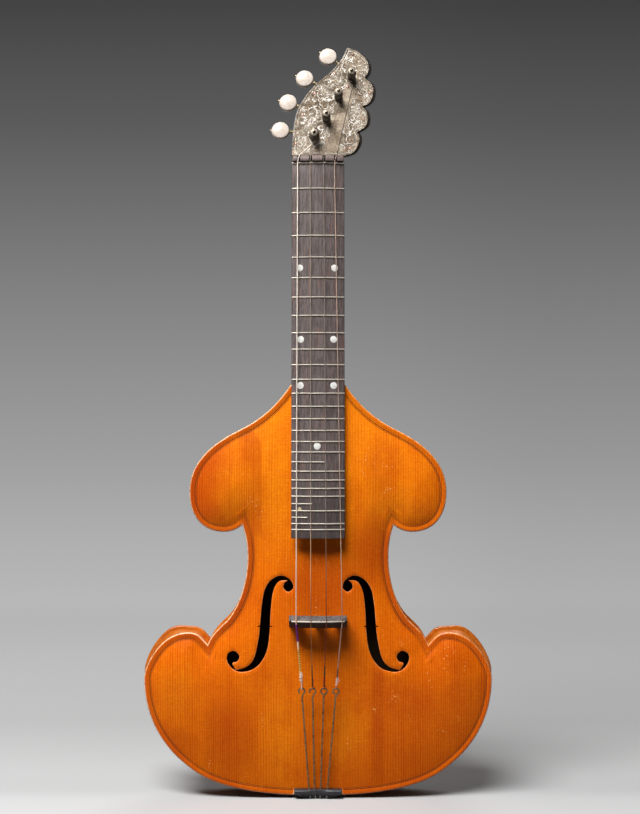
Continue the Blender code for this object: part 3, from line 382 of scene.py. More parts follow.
def maple_varnish(name, base, deep, streak, grain=(1.1, 0.4, 0.03), flame=(0.02, 0.05, 0.16), inside=None,
                  head=None):
    """Varnish over figured maple; grain and flame are waves per millimetre along x, y and z."""
    f = Finish(name, IOR=1.5, Coat_Roughness=0.15, Specular_IOR_Level=0.25)
    drift = f.noise(0.03)
    fibre = f.noise(grain, 3, 0.6)
    curl = f.noise(flame, 3, 0.55).between(0.38, 0.66)
    f.tone = f.mix(curl * 0.6, deep, base)
    f.lay(fibre.between(0.45, 0.7) * 0.4, streak)
    f.lay(drift.between(0.4, 0.7) * 0.35, deep)
    worn = f.noise(0.12, 4, 0.6).between(0.62, 0.75)
    f.lay(worn * 0.3, (0.72, 0.30, 0.08))
    pores = f.noise([4 * g for g in grain]).between(0.66, 0.74)
    f.lay(pores * 0.5, (0.10, 0.03, 0.01))
    relief = fibre * 0.012 + curl * 0.02 - pores * 0.02 + drift * 0.3
    rough, coat = worn * 0.2 + drift * 0.12 + 0.22, 0.45 - worn * 0.3
    if inside:
        # The inner side is bare and dull, painted very dark as the shade inside the body that shows through
        # the f-holes
        inner = f.y.between(inside + 0.5, inside) * f.attribute("rim").between(9, 10)
        f.lay(inner, (0.055, 0.030, 0.013))
        rough, coat = rough + inner * 0.6, coat * (1 - inner)
    if head:
        # The head is stained black, and the stain fades into the neck
        f.lay(f.z.between(*head), (0.016, 0.012, 0.010))
    return f.paint(rough, relief, Coat_Weight=coat)


def bare_wood():
    f = Finish("lime_wood", Specular_IOR_Level=0.2)
    fibre = f.noise((1.2, 1.2, 0.05), 4, 0.6)
    f.tone = f.mix(fibre, (0.50, 0.36, 0.20), (0.66, 0.50, 0.31))
    f.lay(f.noise(0.05, 3).between(0.4, 0.7) * 0.4, (0.36, 0.24, 0.13))
    return f.paint(fibre * 0.2 + 0.6, fibre * 0.05)


def dark_wood(name, base, light, red, rough, shine=0.5, dust_and_lit_top=None, shaded_end=None, shaded_slots=()):
    """Ebony and rosewood: straight pores and streaks along Z. The two optional spans of height are for the
    upward side, grey with dust and lightened as painted light, and for the lower end, darkened as painted
    shade; the slots are painted near black as shade.
    """
    f = Finish(name, IOR=1.5, Specular_IOR_Level=shine)
    streak = f.noise((0.9, 0.9, 0.02), 4, 0.68)
    pores = f.noise((2.6, 2.6, 0.09)).between(0.56, 0.7)
    f.tone = f.mix(streak.between(0.38, 0.62), base, light)
    f.lay(f.noise((0.5, 0.5, 0.012)).between(0.55, 0.68) * 0.6, red)
    f.lay(pores * 0.75, [0.4 * c for c in base])
    rub = f.noise((0.09, 0.09, 0.03), 3)
    if dust_and_lit_top:
        # The side that faces up is grey with dust and rosin, and painted lighter as light falling on it from
        # above
        dust = f.mix(f.noise(0.8, 3, 0.7).between(0.35, 0.65), (0.08, 0.075, 0.08), (0.22, 0.19, 0.17))
        f.lay(f.z.between(*dust_and_lit_top) * 0.8, dust)
    # Painted shade: the lower end is darker, as if less light reaches it
    if shaded_end:
        f.lay(f.z.between(*shaded_end) * 0.4, (0.0, 0.0, 0.0))
    # Painted shade: each string's slot is near black, as if deep in shadow
    for x, wide in shaded_slots:
        f.lay((f.x - x).size().between(wide + 0.2, wide), (0.006, 0.004, 0.004))
    return f.paint(rub * 0.2 + pores * 0.15 + rough, streak * 0.02 - pores * 0.03)


def metal(name, bright, dull, rough, tarnish=(0.45, 0.7), metallic=1.0, grain=0.6, hammer=0.012):
    """A plain metal with tarnish, fine scratches and slightly uneven gloss."""
    f = Finish(name, Metallic=metallic)
    patch = f.noise(0.35, 4, 0.6).between(*tarnish)
    fine = f.noise(grain, 3, 0.6)
    f.tone = f.mix(patch, bright, dull)
    f.lay(fine.between(0.6, 0.75) * 0.3, dull)
    return f.paint(patch * 0.2 + fine * 0.12 + rough, fine * hammer)


def string_metal(name, by_bow, clear, over_board, past_nut, rough, pitch=0.0):
    """String wire, dirty with rosin near the bridge and lighter on the stretch below the board's end, partly
    clean wire and partly painted light; a pitch gives the rings of an overspun string.
    """
    f = Finish(name, Metallic=0.5)
    # The stretch between the rosin and the board is lighter: partly clean wire, partly a painted highlight
    f.tone = f.mix(f.z.between(136, 166), by_bow, clear)
    f.lay(f.z.between(184, 200), over_board)
    f.lay(f.z.between(458.2, 459.6), past_nut)
    patch = f.noise((0.4, 0.4, 0.05), 3).between(0.42, 0.68)
    f.lay(patch * 0.5, (0.62, 0.52, 0.46), "MULTIPLY")
    relief = f.noise((2, 2, 0.3)) * 0.03
    if pitch:
        ring = (f.z * (2 * math.pi / pitch) + f.x * 1.5).wave()
        f.lay((1 - ring) * 0.3, (0.55, 0.5, 0.45), "MULTIPLY")
        relief = relief + ring * pitch * 0.08
    return f.paint(patch * 0.15 + rough, relief)


def engraved_ground():
    """Tarnished nickel silver: stippled between the scrolls, with a plainer band beside the last string."""
    f = Finish("engraved_ground", Metallic=0.35)
    level = f.rotated((1, 0, 0), HEAD_LEAN, HEAD_FOOT)
    across = f.x - (f.node("ShaderNodeSeparateXYZ", {}, {0: level}, 2) - HEAD_FOOT.z) * BAND_SLOPE
    band = across.between(1.4, 2.4) * across.between(12.6, 11.4)
    beside = 1 - band
    stipple = f.cells(1.5).between(0.1, 0.55)
    curls = f.noise(0.55, 3, 0.65)
    engraved = (curls * 22).wave()
    age = f.noise(0.11, 3, 0.6)
    f.tone = f.mix(age.between(0.38, 0.62), (0.54, 0.47, 0.37), (0.19, 0.13, 0.08))
    f.lay((1 - stipple) * beside * 0.8, (0.07, 0.043, 0.024))
    f.lay(engraved.between(0.35, 0.05) * beside * 0.85, (0.05, 0.032, 0.018))
    f.lay(f.noise(0.3, 3).between(0.6, 0.68) * 0.5, (0.34, 0.19, 0.10))
    f.lay(band * 0.75, f.mix(curls.between(0.4, 0.6), (0.12, 0.08, 0.048), (0.36, 0.28, 0.19)))
    hatch = ((across * 7).wave() * 0.5 + curls).between(0.5, 0.9)
    f.lay(hatch * band * 0.6, (0.09, 0.06, 0.035))
    return f.paint(age * 0.2 + 0.48, stipple * beside * 0.12 + engraved * beside * 0.06 + hatch * band * 0.03)


def post_metal():
    """Near black on the spool, a dull pale collar, and a dark polished knob on top."""
    f = Finish("post_metal")
    normal = (0, -math.cos(HEAD_LEAN), math.sin(HEAD_LEAN))
    up = f.vector("DOT_PRODUCT", f.vector("SUBTRACT", f.p, HEAD_FOOT), normal, "Value")
    collar = up.between(POST_TOP - 3.4, POST_TOP - 3.2) * up.between(POST_TOP - 1.35, POST_TOP - 1.5)
    fine = f.noise(0.7, 3, 0.6)
    f.tone = f.mix(fine.between(0.4, 0.65), (0.060, 0.046, 0.034), (0.022, 0.017, 0.013))
    f.lay(collar, f.mix(fine, (0.30, 0.25, 0.19), (0.52, 0.45, 0.35)))
    knob = up.between(POST_TOP - 1.5, POST_TOP - 1.4)
    f.lay(knob, (0.16, 0.13, 0.10))
    return f.paint(collar * 0.1 + 0.42 - knob * 0.24, fine * 0.02, Metallic=knob * 0.6 + 0.4)


def pearl(name, base, warm, rough=0.22):
    f = Finish(name, IOR=1.53, Specular_IOR_Level=0.3)
    cloud = f.noise(0.3, 3, 0.6)
    layer = f.noise((0.8, 1.6, 0.8), 3, 0.7)
    f.tone = f.mix(cloud.between(0.4, 0.68) * 0.8, base, warm)
    f.lay(layer.between(0.5, 0.7) * 0.5, (0.84, 0.80, 0.82))
    f.lay(layer.between(0.42, 0.3) * 0.5, (0.55, 0.48, 0.38))
    return f.paint(cloud * 0.15 + rough, layer * 0.02 + cloud * 0.05)


def silk(name, *stops, bars=None):
    """Twisted thread whose colour changes with height; stops are (z, colour), bars a dark thread's span."""
    f = Finish(name, Sheen_Weight=0.04, Specular_IOR_Level=0.12)
    low, high = stops[0][0], stops[-1][0]
    f.tone = f.ramp((f.z - low) / (high - low), *(((z - low) / (high - low), c) for z, c in stops))
    fibre = f.noise((5, 5, 2.2), 3, 0.6)
    f.lay(fibre.between(0.45, 0.7) * 0.35, (0.55, 0.45, 0.4), "MULTIPLY")
    if bars:
        stripe = (f.z * (2 * math.pi / 1.7) + f.x * 2.0).wave().between(0.3, 0.12)
        f.lay(stripe * f.z.between(bars[0] - 0.3, bars[0]) * f.z.between(bars[1] + 0.3, bars[1]),
              (0.07, 0.035, 0.015))
    return f.paint(fibre * 0.3 + 0.55, fibre * 0.12)


SPRUCE = spruce_varnish()
BACK_MAPLE = maple_varnish("back_varnish", (0.68, 0.20, 0.012), (0.44, 0.10, 0.006), (0.76, 0.26, 0.02),
                           inside=17.3)
MAPLE = maple_varnish("neck_varnish", (0.22, 0.070, 0.018), (0.10, 0.030, 0.008), (0.28, 0.10, 0.03),
                      head=(444, 458))
RIB_MAPLE = maple_varnish("rib_varnish", (0.72, 0.215, 0.012), (0.50, 0.115, 0.006), (0.80, 0.27, 0.02),
                          (0.06, 1.0, 0.06), (0.16, 0.03, 0.16))
LIME = bare_wood()
EBONY = dark_wood("ebony", (0.022, 0.021, 0.024), (0.045, 0.044, 0.050), (0.04, 0.027, 0.022), 0.3, 0.3)
BRIDGE_EBONY = dark_wood("bridge_ebony", (0.010, 0.008, 0.007), (0.020, 0.016, 0.014), (0.05, 0.02, 0.012),
                         0.34, 0.2, dust_and_lit_top=(BRIDGE_Z - 0.2, BRIDGE_Z + 0.4))
BOARD_WOOD = dark_wood("board_wood", (0.070, 0.052, 0.049), (0.140, 0.109, 0.104), (0.17, 0.088, 0.070),
                       0.42, shaded_end=(246, 200))
NUT_WOOD = dark_wood("nut_rosewood", (0.13, 0.090, 0.082), (0.19, 0.14, 0.13), (0.20, 0.11, 0.09), 0.45,
                     shaded_slots=[(0.5 * (row[3] + row[4]), row[0] + 0.75) for row in STRINGS])
NICKEL = metal("fret_nickel", (0.76, 0.70, 0.60), (0.54, 0.47, 0.38), 0.34, metallic=0.6, grain=(0.15, 3, 3))
POST_METAL = post_metal()
SCROLL_METAL = metal("scroll_silver", (0.88, 0.84, 0.78), (0.32, 0.25, 0.17), 0.48, tarnish=(0.40, 0.60),
                     metallic=0.4, hammer=0.03)
COIL_METAL = metal("dark_coil", (0.16, 0.13, 0.10), (0.05, 0.04, 0.03), 0.38, metallic=0.8)
STAPLE_METAL = metal("staple_brass", (0.42, 0.42, 0.34), (0.22, 0.20, 0.14), 0.35, metallic=0.7)
BRASS = metal("brass", (0.74, 0.55, 0.24), (0.36, 0.22, 0.08), 0.26)
COPPER_SCREW = metal("screw_bronze", (0.46, 0.30, 0.23), (0.22, 0.13, 0.09), 0.4, metallic=0.7)
WASHER_METAL = metal("washer_nickel", (0.42, 0.36, 0.28), (0.20, 0.15, 0.10), 0.5, metallic=0.5)
STEEL = metal("worm_steel", (0.27, 0.22, 0.14), (0.13, 0.10, 0.06), 0.4)
HOOK_METAL = metal("hook_steel", (0.24, 0.16, 0.075), (0.07, 0.040, 0.018), 0.3, metallic=0.7,
                   grain=(2, 2, 0.3))
STRING_METALS = (
    string_metal("first_string", (1.0, 0.64, 0.44), (1.0, 0.78, 0.60), (0.98, 0.88, 0.78), (0.80, 0.70, 0.58),
                 0.35, 0.3),
    string_metal("second_string", (0.30, 0.13, 0.05), (0.74, 0.47, 0.25), (0.46, 0.36, 0.28),
                 (0.09, 0.06, 0.045), 0.42),
    string_metal("third_string", (0.14, 0.028, 0.016), (0.30, 0.17, 0.10), (0.32, 0.26, 0.22),
                 (0.08, 0.05, 0.04), 0.42),
    string_metal("fourth_string", (0.42, 0.25, 0.20), (0.66, 0.44, 0.29), (0.54, 0.38, 0.30),
                 (0.035, 0.022, 0.015), 0.38, 0.3))
BUTTON_PEARL = pearl("button_pearl", (0.64, 0.55, 0.48), (0.53, 0.44, 0.34))
DOT_PEARL = pearl("dot_pearl", (0.80, 0.80, 0.76), (0.66, 0.64, 0.58), 0.3)
YELLOW_DOT = pearl("yellow_dot", (0.62, 0.50, 0.24), (0.50, 0.38, 0.16), 0.35)


# Modelling helpers

def only(obj):
    bpy.ops.object.select_all(action="DESELECT")
    obj.select_set(True)
    bpy.context.view_layer.objects.active = obj
    return obj


def primitive(add, **how):
    bpy.ops.object.select_all(action="DESELECT")
    add(**how)
    return bpy.context.object


def mesh_object(name, verts, edges=(), faces=()):
    mesh = bpy.data.meshes.new(name)
    mesh.from_pydata([tuple(v) for v in verts], list(edges), [tuple(f) for f in faces])
    obj = bpy.data.objects.new(name, mesh)
    bpy.context.scene.collection.objects.link(obj)
    return only(obj)


def edit(obj, kind="FACE", action="DESELECT"):
    only(obj)
    bpy.ops.object.mode_set(mode="EDIT")
    bpy.ops.mesh.select_mode(type=kind)
    bpy.ops.mesh.select_all(action=action)


def pick(obj, test):
    """Selects the faces whose centre and normal pass the test."""
    bm = bmesh.from_edit_mesh(obj.data)
    for face in bm.faces:
        face.select_set(bool(test(face.calc_center_median(), face.normal)))
    bmesh.update_edit_mesh(obj.data)


def closed(obj):
    """Leaves edit mode with doubles merged and the faces outward."""
    bpy.ops.mesh.select_all(action="SELECT")
    bpy.ops.mesh.remove_doubles(threshold=0.0005)
    bpy.ops.mesh.normals_make_consistent(inside=False)
    bpy.ops.object.mode_set(mode="OBJECT")
    return obj


def modify(obj, kind, **settings):
    only(obj)
    mod = obj.modifiers.new(kind.title(), kind)
    for key, value in settings.items():
        setattr(mod, key, value)
    bpy.ops.object.modifier_apply(modifier=mod.name)
    return obj


def cut(obj, tool, operation="DIFFERENCE"):
    modify(obj, "BOOLEAN", operation=operation, solver="EXACT", object=tool)
    bpy.data.objects.remove(tool)
    return obj


def bevelled(obj, width, segments=2, angle=40):
    return modify(obj, "BEVEL", width=width, segments=segments, limit_method="ANGLE",
                  angle_limit=math.radians(angle))


def joined(pieces):
    bpy.ops.object.select_all(action="DESELECT")
    for piece in pieces:
        piece.select_set(True)
    bpy.context.view_layer.objects.active = pieces[0]
    bpy.ops.object.join()
    return bpy.context.object


def copied(obj, place):
    twin = obj.copy()
    twin.data = obj.data.copy()
    bpy.context.scene.collection.objects.link(twin)
    twin.data.transform(place)
    return twin


def show(obj, name, finish, body="frame", stands_for=(), angle=35):
    """Turns a finished piece into metres and gives it its name, finish and body."""
    only(obj)
    obj.data.transform(Matrix.Scale(MM, 4) @ obj.matrix_world)
    obj.matrix_world = Matrix.Identity(4)
    obj.name = obj.data.name = name
    obj.data.materials.clear()
    obj.data.materials.append(finish.material)
    bpy.ops.object.shade_smooth_by_angle(angle=math.radians(angle))
    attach(obj, body)
    if stands_for:
        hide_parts(*stands_for)
    return obj


def slab(name, loop, move):
    """Extrudes a flat loop of points by a vector."""
    obj = mesh_object(name, loop, faces=[range(len(loop))])
    edit(obj, action="SELECT")
    bpy.ops.mesh.extrude_region_move(TRANSFORM_OT_translate={"value": tuple(move)})
    return closed(obj)


def loft(name, rings):
    """Skins a run of equal rings of points and caps both ends."""
    n = len(rings[0])
    verts = [p for ring in rings for p in ring]
    faces = [(a * n + j, a * n + (j + 1) % n, (a + 1) * n + (j + 1) % n, (a + 1) * n + j)
             for a in range(len(rings) - 1) for j in range(n)]
    faces += [range(n), [(len(rings) - 1) * n + j for j in range(n)]]
    obj = mesh_object(name, verts, faces=faces)
    edit(obj)
    return closed(obj)


def crossbar(name, half, count, section, *bevel):
    """Skins the sections (y, z) that a function gives at each x from -half to half, and bevels the edges."""
    rings = [[(x, y, z) for y, z in section(x)] for x in np.linspace(-half, half, count)]
    return bevelled(loft(name, rings), *bevel)


def turned_piece(name, profile, place, steps=40):
    """Spins a profile of (radius, height) points about the local Z axis of a placement."""
    obj = mesh_object(name, [(r, 0, h) for r, h in profile],
                      edges=[(i, i + 1) for i in range(len(profile) - 1)])
    edit(obj, "VERT", "SELECT")
    bpy.ops.mesh.spin(steps=steps, angle=2 * math.pi, center=(0, 0, 0), axis=(0, 0, 1))
    closed(obj).data.transform(place)
    return obj


def drill(obj, radius, low, high, place, steps=24):
    """Cuts a round hole between two heights on the local Z axis of a placement."""
    cut(obj, turned_piece("drill", [(0, low), (radius, low), (radius, high), (0, high)], place, steps))


def wire(name, strands, radius, sides=3, smooth=True):
    """Round wires through points; a point may carry a fourth number that scales its radius."""
    curve = bpy.data.curves.new(name, "CURVE")
    curve.dimensions = "3D"
    curve.bevel_depth, curve.bevel_resolution, curve.use_fill_caps = radius, sides, True
    curve.resolution_u = 4
    for points in strands:
        spline = curve.splines.new("BEZIER" if smooth else "POLY")
        knots = spline.bezier_points if smooth else spline.points
        knots.add(len(points) - 1)
        for knot, at in zip(knots, points):
            knot.co = tuple(at[:3]) if smooth else (*at[:3], 1)
            knot.radius = at[3] if len(at) > 3 else 1.0
            if smooth:
                knot.handle_left_type = knot.handle_right_type = "AUTO"
    obj = bpy.data.objects.new(name, curve)
    bpy.context.scene.collection.objects.link(obj)
    only(obj)
    bpy.ops.object.convert(target="MESH")
    return bpy.context.object


def placement(origin, x, y, z):
    turn = Matrix([Vector(x), Vector(y), Vector(z)]).transposed()
    return Matrix.Translation(Vector(origin)) @ turn.to_4x4()


def catmull(knots, per):
    """A smooth run through points; the ends are corners."""
    pts = [np.array(k, float) for k in knots]
    out = []
    for i in range(len(pts) - 1):
        a, b = pts[i], pts[i + 1]
        before = pts[i - 1] if i else a * 2 - b
        after = pts[i + 2] if i + 2 < len(pts) else b * 2 - a
        for k in range(per):
            t = k / per
            out.append(0.5 * (2 * a + (b - before) * t + (2 * before - 5 * a + 4 * b - after) * t ** 2
                              + (3 * a - before - 3 * b + after) * t ** 3))
    return out


# Body

def trace(knots, counts):
    """Points along a chain of Bezier knots, with the unit inward normal at each one."""
    def heading(degrees):
        return Vector((math.cos(math.radians(degrees)), math.sin(math.radians(degrees))))

    points = []
    for (a, b), n in zip(zip(knots, knots[1:]), counts):
        p, q = Vector(a[:2]), Vector(b[:2])
        steps = geometry.interpolate_bezier(p, p + heading(a[2]) * a[4], q - heading(b[2]) * b[3], q, n + 1)
        points += [s.to_2d() for s in steps[:-1]]
    points.append(Vector(knots[-1][:2]))
    inward = []
    for i in range(len(points)):
        run = (heading(knots[0][2]) if i == 0 else heading(knots[-1][2]) if i == len(points) - 1
               else (points[i + 1] - points[i - 1]).normalized())
        inward.append(Vector((-run.y, run.x)))
    return points, inward


def half_outline(fine):
    """Right-hand runs of the outline: points, and the vectors that move each one inward by one unit."""
    runs = [trace(knots, [fine * c for c in counts])
            for knots, counts in ((LOWER, (8, 4, 7, 3)), (WAIST, (3, 5, 3)), (UPPER, (3, 5, 6, 5)))]
    for (_, a), (_, b) in zip(runs, runs[1:]):
        mitre = (a[-1] + b[0]) / (1 + a[-1].dot(b[0]))
        a[-1], b[0] = mitre, mitre.copy()
    return runs


def inset(run, t):
    return [p + v * t for p, v in zip(*run)]


def flared(run, t, share=1.0):
    """A lower run moved inward by t, and outward where the back's lobe is fuller than the soundboard's."""
    out = []
    for p, v in zip(*run):
        side = 0.0 if p is run[0][-1] else min(1.0, max(0.0, -v.x / 0.6))
        rise = min(1.0, max(0.0, (p.y - FLARE_LOW) / (FLARE_HIGH - FLARE_LOW)))
        out.append(p + v * (t - BACK_FLARE * share * (smooth(side) * smooth(rise))))
    return out


def full_loop(t=0.0, fine=5, share=0.0):
    """The closed outline moved inward by t, anticlockwise from the middle of the foot."""
    runs = half_outline(fine)
    end = runs[2][1][-1]
    runs[2][1][-1] = Vector((end.x, end.y - 1)) / (1 - end.y)
    right = flared(runs[0], t, share) + inset(runs[1], t)[1:] + inset(runs[2], t)[1:]
    return [tuple(p) for p in right] + [(-p.x, p.y) for p in reversed(right[1:])]


def gap_to(points, loop):
    """Distance from each point to a closed loop."""
    a = np.asarray(loop, float)[None]
    run = np.roll(a, -1, axis=1) - a
    found = []
    for part in np.array_split(np.asarray(points, float), max(1, len(points) // 1500)):
        p = part[:, None]
        t = np.clip(((p - a) * run).sum(2) / (run ** 2).sum(2), 0, 1)
        found.append(np.hypot(*np.moveaxis(a + run * t[..., None] - p, 2, 0)).min(1))
    return np.concatenate(found)


def within(points, loop):
    """Which points lie inside a closed loop."""
    p, a = np.asarray(points, float), np.asarray(loop, float)
    b = np.roll(a, -1, axis=0)
    count = np.zeros(len(p), int)
    for (x0, z0), (x1, z1) in zip(a, b):
        if z0 != z1:
            crosses = (p[:, 1] < z0) != (p[:, 1] < z1)
            count += crosses & (p[:, 0] < x0 + (p[:, 1] - z0) * (x1 - x0) / (z1 - z0))
    return count % 2 == 1


def smooth(t):
    """Eases a share between 0 and 1 at both ends."""
    return t * t * (3 - 2 * t)


def swell(z, gap):
    """Rise of the soundboard above its edge, from the distance to the outline."""
    along = np.maximum(0, 1 - ((z - 149.9) / 152) ** 2) ** 0.8
    return ARCH * along * (1 - np.exp(-(np.maximum(0, gap - 3) / 14) ** 1.3))


def hollow(z, gap):
    """Rise of the soundboard's inner side above its edge."""
    return 1.1 * swell(z, gap) * smooth(np.clip((gap - 7.5) / 9, 0, 1))


def f_hole(sign, grow=0.0):
    """An f-hole with a nick on each side of its stem."""
    pts = np.array(catmull(F_OUTER, 6) + catmull(F_INNER, 6))
    if grow:
        run = np.roll(pts, -1, axis=0) - np.roll(pts, 1, axis=0)
        run /= np.hypot(run[:, 0], run[:, 1])[:, None]
        pts = pts + grow * np.column_stack((run[:, 1], -run[:, 0])) * (-1 if area(pts) < 0 else 1)
    stem = (pts[:, 0] > 30) & (pts[:, 0] < 46)
    pts = pts[~(stem & (abs(pts[:, 1] - NICK_Z) < 1.0))]
    out = []
    for (x, z), (x_next, z_next) in zip(pts, np.roll(pts, -1, axis=0)):
        out.append((sign * x, z))
        if 30 < x < 46 and (z - NICK_Z) * (z_next - NICK_Z) < 0:
            at = x + (x_next - x) * (NICK_Z - z) / (z_next - z)
            side, down = (1 if at > 38 else -1), (1 if z_next < z else -1)
            out += [(sign * at, NICK_Z + 0.7 * down), (sign * (at + 1.6 * side), NICK_Z + 0.25 * down),
                    (sign * (at + 1.6 * side), NICK_Z - 0.25 * down), (sign * at, NICK_Z - 0.7 * down)]
    return out


def area(loop):
    a, b = np.asarray(loop), np.roll(np.asarray(loop), -1, axis=0)
    return 0.5 * float((a[:, 0] * b[:, 1] - b[:, 0] * a[:, 1]).sum())


# Distances from the rim, and how far the face of a plate lies below its edge there
RIMS = (0, 0.12, 0.42, 0.9, 1.6, 2.4, 3.2, 3.9, 4.7, 6, 8)
BEAD = (1.1, 0.6, 0.235, 0.02, 0, 0.05, 0.2, 0.32, 0.36, 0.28, 0.1)
# Marks of the points on an f-hole's edge and of those on no rim
HOLE_EDGE, FREE = -2, -1


def build_plate(name, holes=()):
    """A plate with a bead and a channel along its rim: the arched front with its f-holes, or the flat back.

    Each f-hole comes as two loops: its edge, and one just outside it that makes the edge round.
    """
    points, edges, rims = [], [], []
    share = 0.0 if holes else 1.0
    border = full_loop(0, 3, share)

    def loop_in(loop, rim):
        base, n = len(points), len(loop)
        points.extend(loop)
        rims.extend([rim] * n)
        edges.extend((base + i, base + (i + 1) % n) for i in range(n))

    for t in RIMS:
        loop_in(full_loop(t, 5, share), t)
    for k, hole in enumerate(holes):
        loop_in(hole, FREE if k % 2 else HOLE_EDGE)
    step = 3.1 if holes else 6.0
    levels = enumerate(np.arange(4, 292, step * 0.87))
    grid = np.array([(x + k % 2 * step / 2, z) for k, z in levels for x in np.arange(-126, 126, step)])
    keep = within(grid, border) & (gap_to(grid, border) > 9.2)
    for hole in holes:
        keep &= gap_to(grid, hole) > 1.0
    points.extend(tuple(p) for p in grid[keep])
    rims.extend([FREE] * int(keep.sum()))
    made, _, faces, origin, _, _ = geometry.delaunay_2d_cdt(
        [Vector(p) for p in points], edges, [], 0, 1e-6, True)
    at = np.array([tuple(p) for p in made])
    gap = gap_to(at, border)
    rim = np.array([rims[o[0]] if o else FREE for o in origin], float)
    worn = np.where(rim == HOLE_EDGE, 0.3, 0.0)
    rim = np.where(rim < 0, np.maximum(gap, 0), rim)
    faces = np.array([f for f in faces if len(f) == 3])
    middle = at[faces].mean(1)
    keep = within(middle, full_loop(0, 5, share))
    for hole in holes[::2]:
        keep &= ~within(middle, hole)
    faces = faces[keep]
    used = np.unique(faces)
    index = -np.ones(len(at), int)
    index[used] = np.arange(len(used))
    faces, at, gap, rim, worn = index[faces], at[used], gap[used], rim[used], worn[used]
    x, z = at.T
    bead = np.interp(rim, RIMS, BEAD) + worn
    inner_bead = np.interp(rim, RIMS[:4], (*BEAD[:3], 0))
    if holes:
        outer = FRONT_Y + bead - swell(z, gap)
        inner = -RIB_HALF - inner_bead - hollow(z, gap)
    else:
        outer = BACK_Y - bead * np.where(rim > 2, 0.5, 1)
        inner = RIB_HALF + inner_bead
    n = len(at)
    verts = np.vstack((np.column_stack((x, outer, z)), np.column_stack((x, inner, z))))
    rows = [(a, b, c) for a, b, c in faces] + [(n + c, n + b, n + a) for a, b, c in faces]
    directed = {(a, b) for f in faces for a, b in ((f[0], f[1]), (f[1], f[2]), (f[2], f[0]))}
    rows += [(b, a, n + a, n + b) for a, b in directed if (b, a) not in directed]
    obj = mesh_object(name, verts, faces=[[int(i) for i in row] for row in rows])
    edit(obj, action="SELECT")
    bpy.ops.mesh.normals_make_consistent(inside=False)
    bpy.ops.object.mode_set(mode="OBJECT")
    # The varnish reads the distances to the rim and to the nearest f-hole
    edge = np.min([gap_to(at, hole) for hole in holes[::2]], axis=0) if holes else np.full(n, 99.0)
    for key, value in (("rim", rim), ("hole", edge)):
        attribute = obj.data.attributes.new(key, "FLOAT", "POINT")
        attribute.data.foreach_set("value", np.concatenate((value, value)).astype(np.float32))
    return obj


def build_body():
    holes = [f_hole(sign, grow) for sign in (-1, 1) for grow in (0.0, 0.45)]
    board = build_plate("top", holes)
    cut(board, slab("notch", [(-17, -30, -9), (17, -30, -9), (17, -30, 7.2), (-17, -30, 7.2)], (0, 40, 0)))
    show(board, "arched_top", SPRUCE, stands_for=["soundboard"], angle=40)
    show(build_plate("back"), "flat_back", BACK_MAPLE, stands_for=["back_plate"], angle=40)
    runs = half_outline(5)
    n = runs[2][1][-1]
    runs[2][1][-1] = Vector((n.x - n.y * n.y / -n.x, 0))
    for side, sign in (("left", -1), ("right", 1)):
        for part, run in zip(("lower", "waist", "upper"), runs):
            rings = []
            for y in np.linspace(-RIB_HALF, RIB_HALF, 5):
                share = (y + RIB_HALF) / (2 * RIB_HALF) if part == "lower" else 0.0
                loop = flared(run, RIB_INSET, share) + flared(run, RIB_INSET + RIB_WALL, share)[::-1]
                rings.append([(sign * p.x, y, p.y) for p in loop])
            show(loft("rib", rings), f"bent_rib_{part}_{side}", RIB_MAPLE,
                 stands_for=[f"rib_{part}_{side}"], angle=30)


# Neck, fingerboard and nut

def crest(z):
    return ZERO_CREST_Y - BOARD_SLOPE * (ZERO_FRET_Z - z)


def camber(x):
    return BOARD_CAMBER - math.sqrt(BOARD_CAMBER ** 2 - x * x)


HEAD_S = Vector((0, math.sin(HEAD_LEAN), math.cos(HEAD_LEAN)))
HEAD_N = Vector((0, -math.cos(HEAD_LEAN), math.sin(HEAD_LEAN)))
HEAD = placement(HEAD_FOOT, (1, 0, 0), HEAD_S, HEAD_N)


def on_head(x, s, h=0.0):
    return HEAD @ Vector((x, s, h))


def post_place(i):
    return placement(on_head(*POSTS[i]), (1, 0, 0), HEAD_S, HEAD_N)


def station(i):
    """Worm frame of a tuner: its Z axis runs out to the button and its X axis points at the post."""
    post, knob = Vector(POSTS[i]), Vector(BUTTONS[i])
    run = post - knob
    angle = math.atan2(run.y, run.x) + math.asin(CENTRES / run.length)
    d = Vector((math.cos(angle), math.sin(angle)))
    reach = run.dot(d)
    foot = knob + d * reach
    z_axis = -(Vector((1, 0, 0)) * d.x + HEAD_S * d.y)
    side = (post - foot).normalized()
    x_axis = Vector((1, 0, 0)) * side.x + HEAD_S * side.y
    return placement(on_head(foot.x, foot.y, -WORM_DROP), x_axis, z_axis.cross(x_axis), z_axis), reach


def head_loop(outset=0.0, per=6):
    """Outline of the head plate, moved outward."""
    pts = [Vector(p) for run in HEAD_RUNS for p in catmull(run, per)] + [Vector(HEAD_RUNS[-1][-1])]
    if outset == 0:
        return pts
    out = []
    for i, p in enumerate(pts):
        a, b = (p - pts[i - 1]).normalized(), (pts[(i + 1) % len(pts)] - p).normalized()
        n1, n2 = Vector((-a.y, a.x)), Vector((-b.y, b.x))
        out.append(p + (n1 + n2) / max(0.5, 1 + n1.dot(n2)) * outset)
    return out


def core_loop(t):
    """Outline of the wooden head under the plate: it shows past the plate on the right."""
    return [Vector((p.x + CORE_WIDER * max(0.0, (p - q).normalized().x), p.y))
            for p, q in zip(head_loop(t), head_loop(t - 1.0))]


def head_slab(name, loop, low, high):
    return slab(name, [on_head(x, s, low) for x, s in loop], HEAD_N * (high - low))


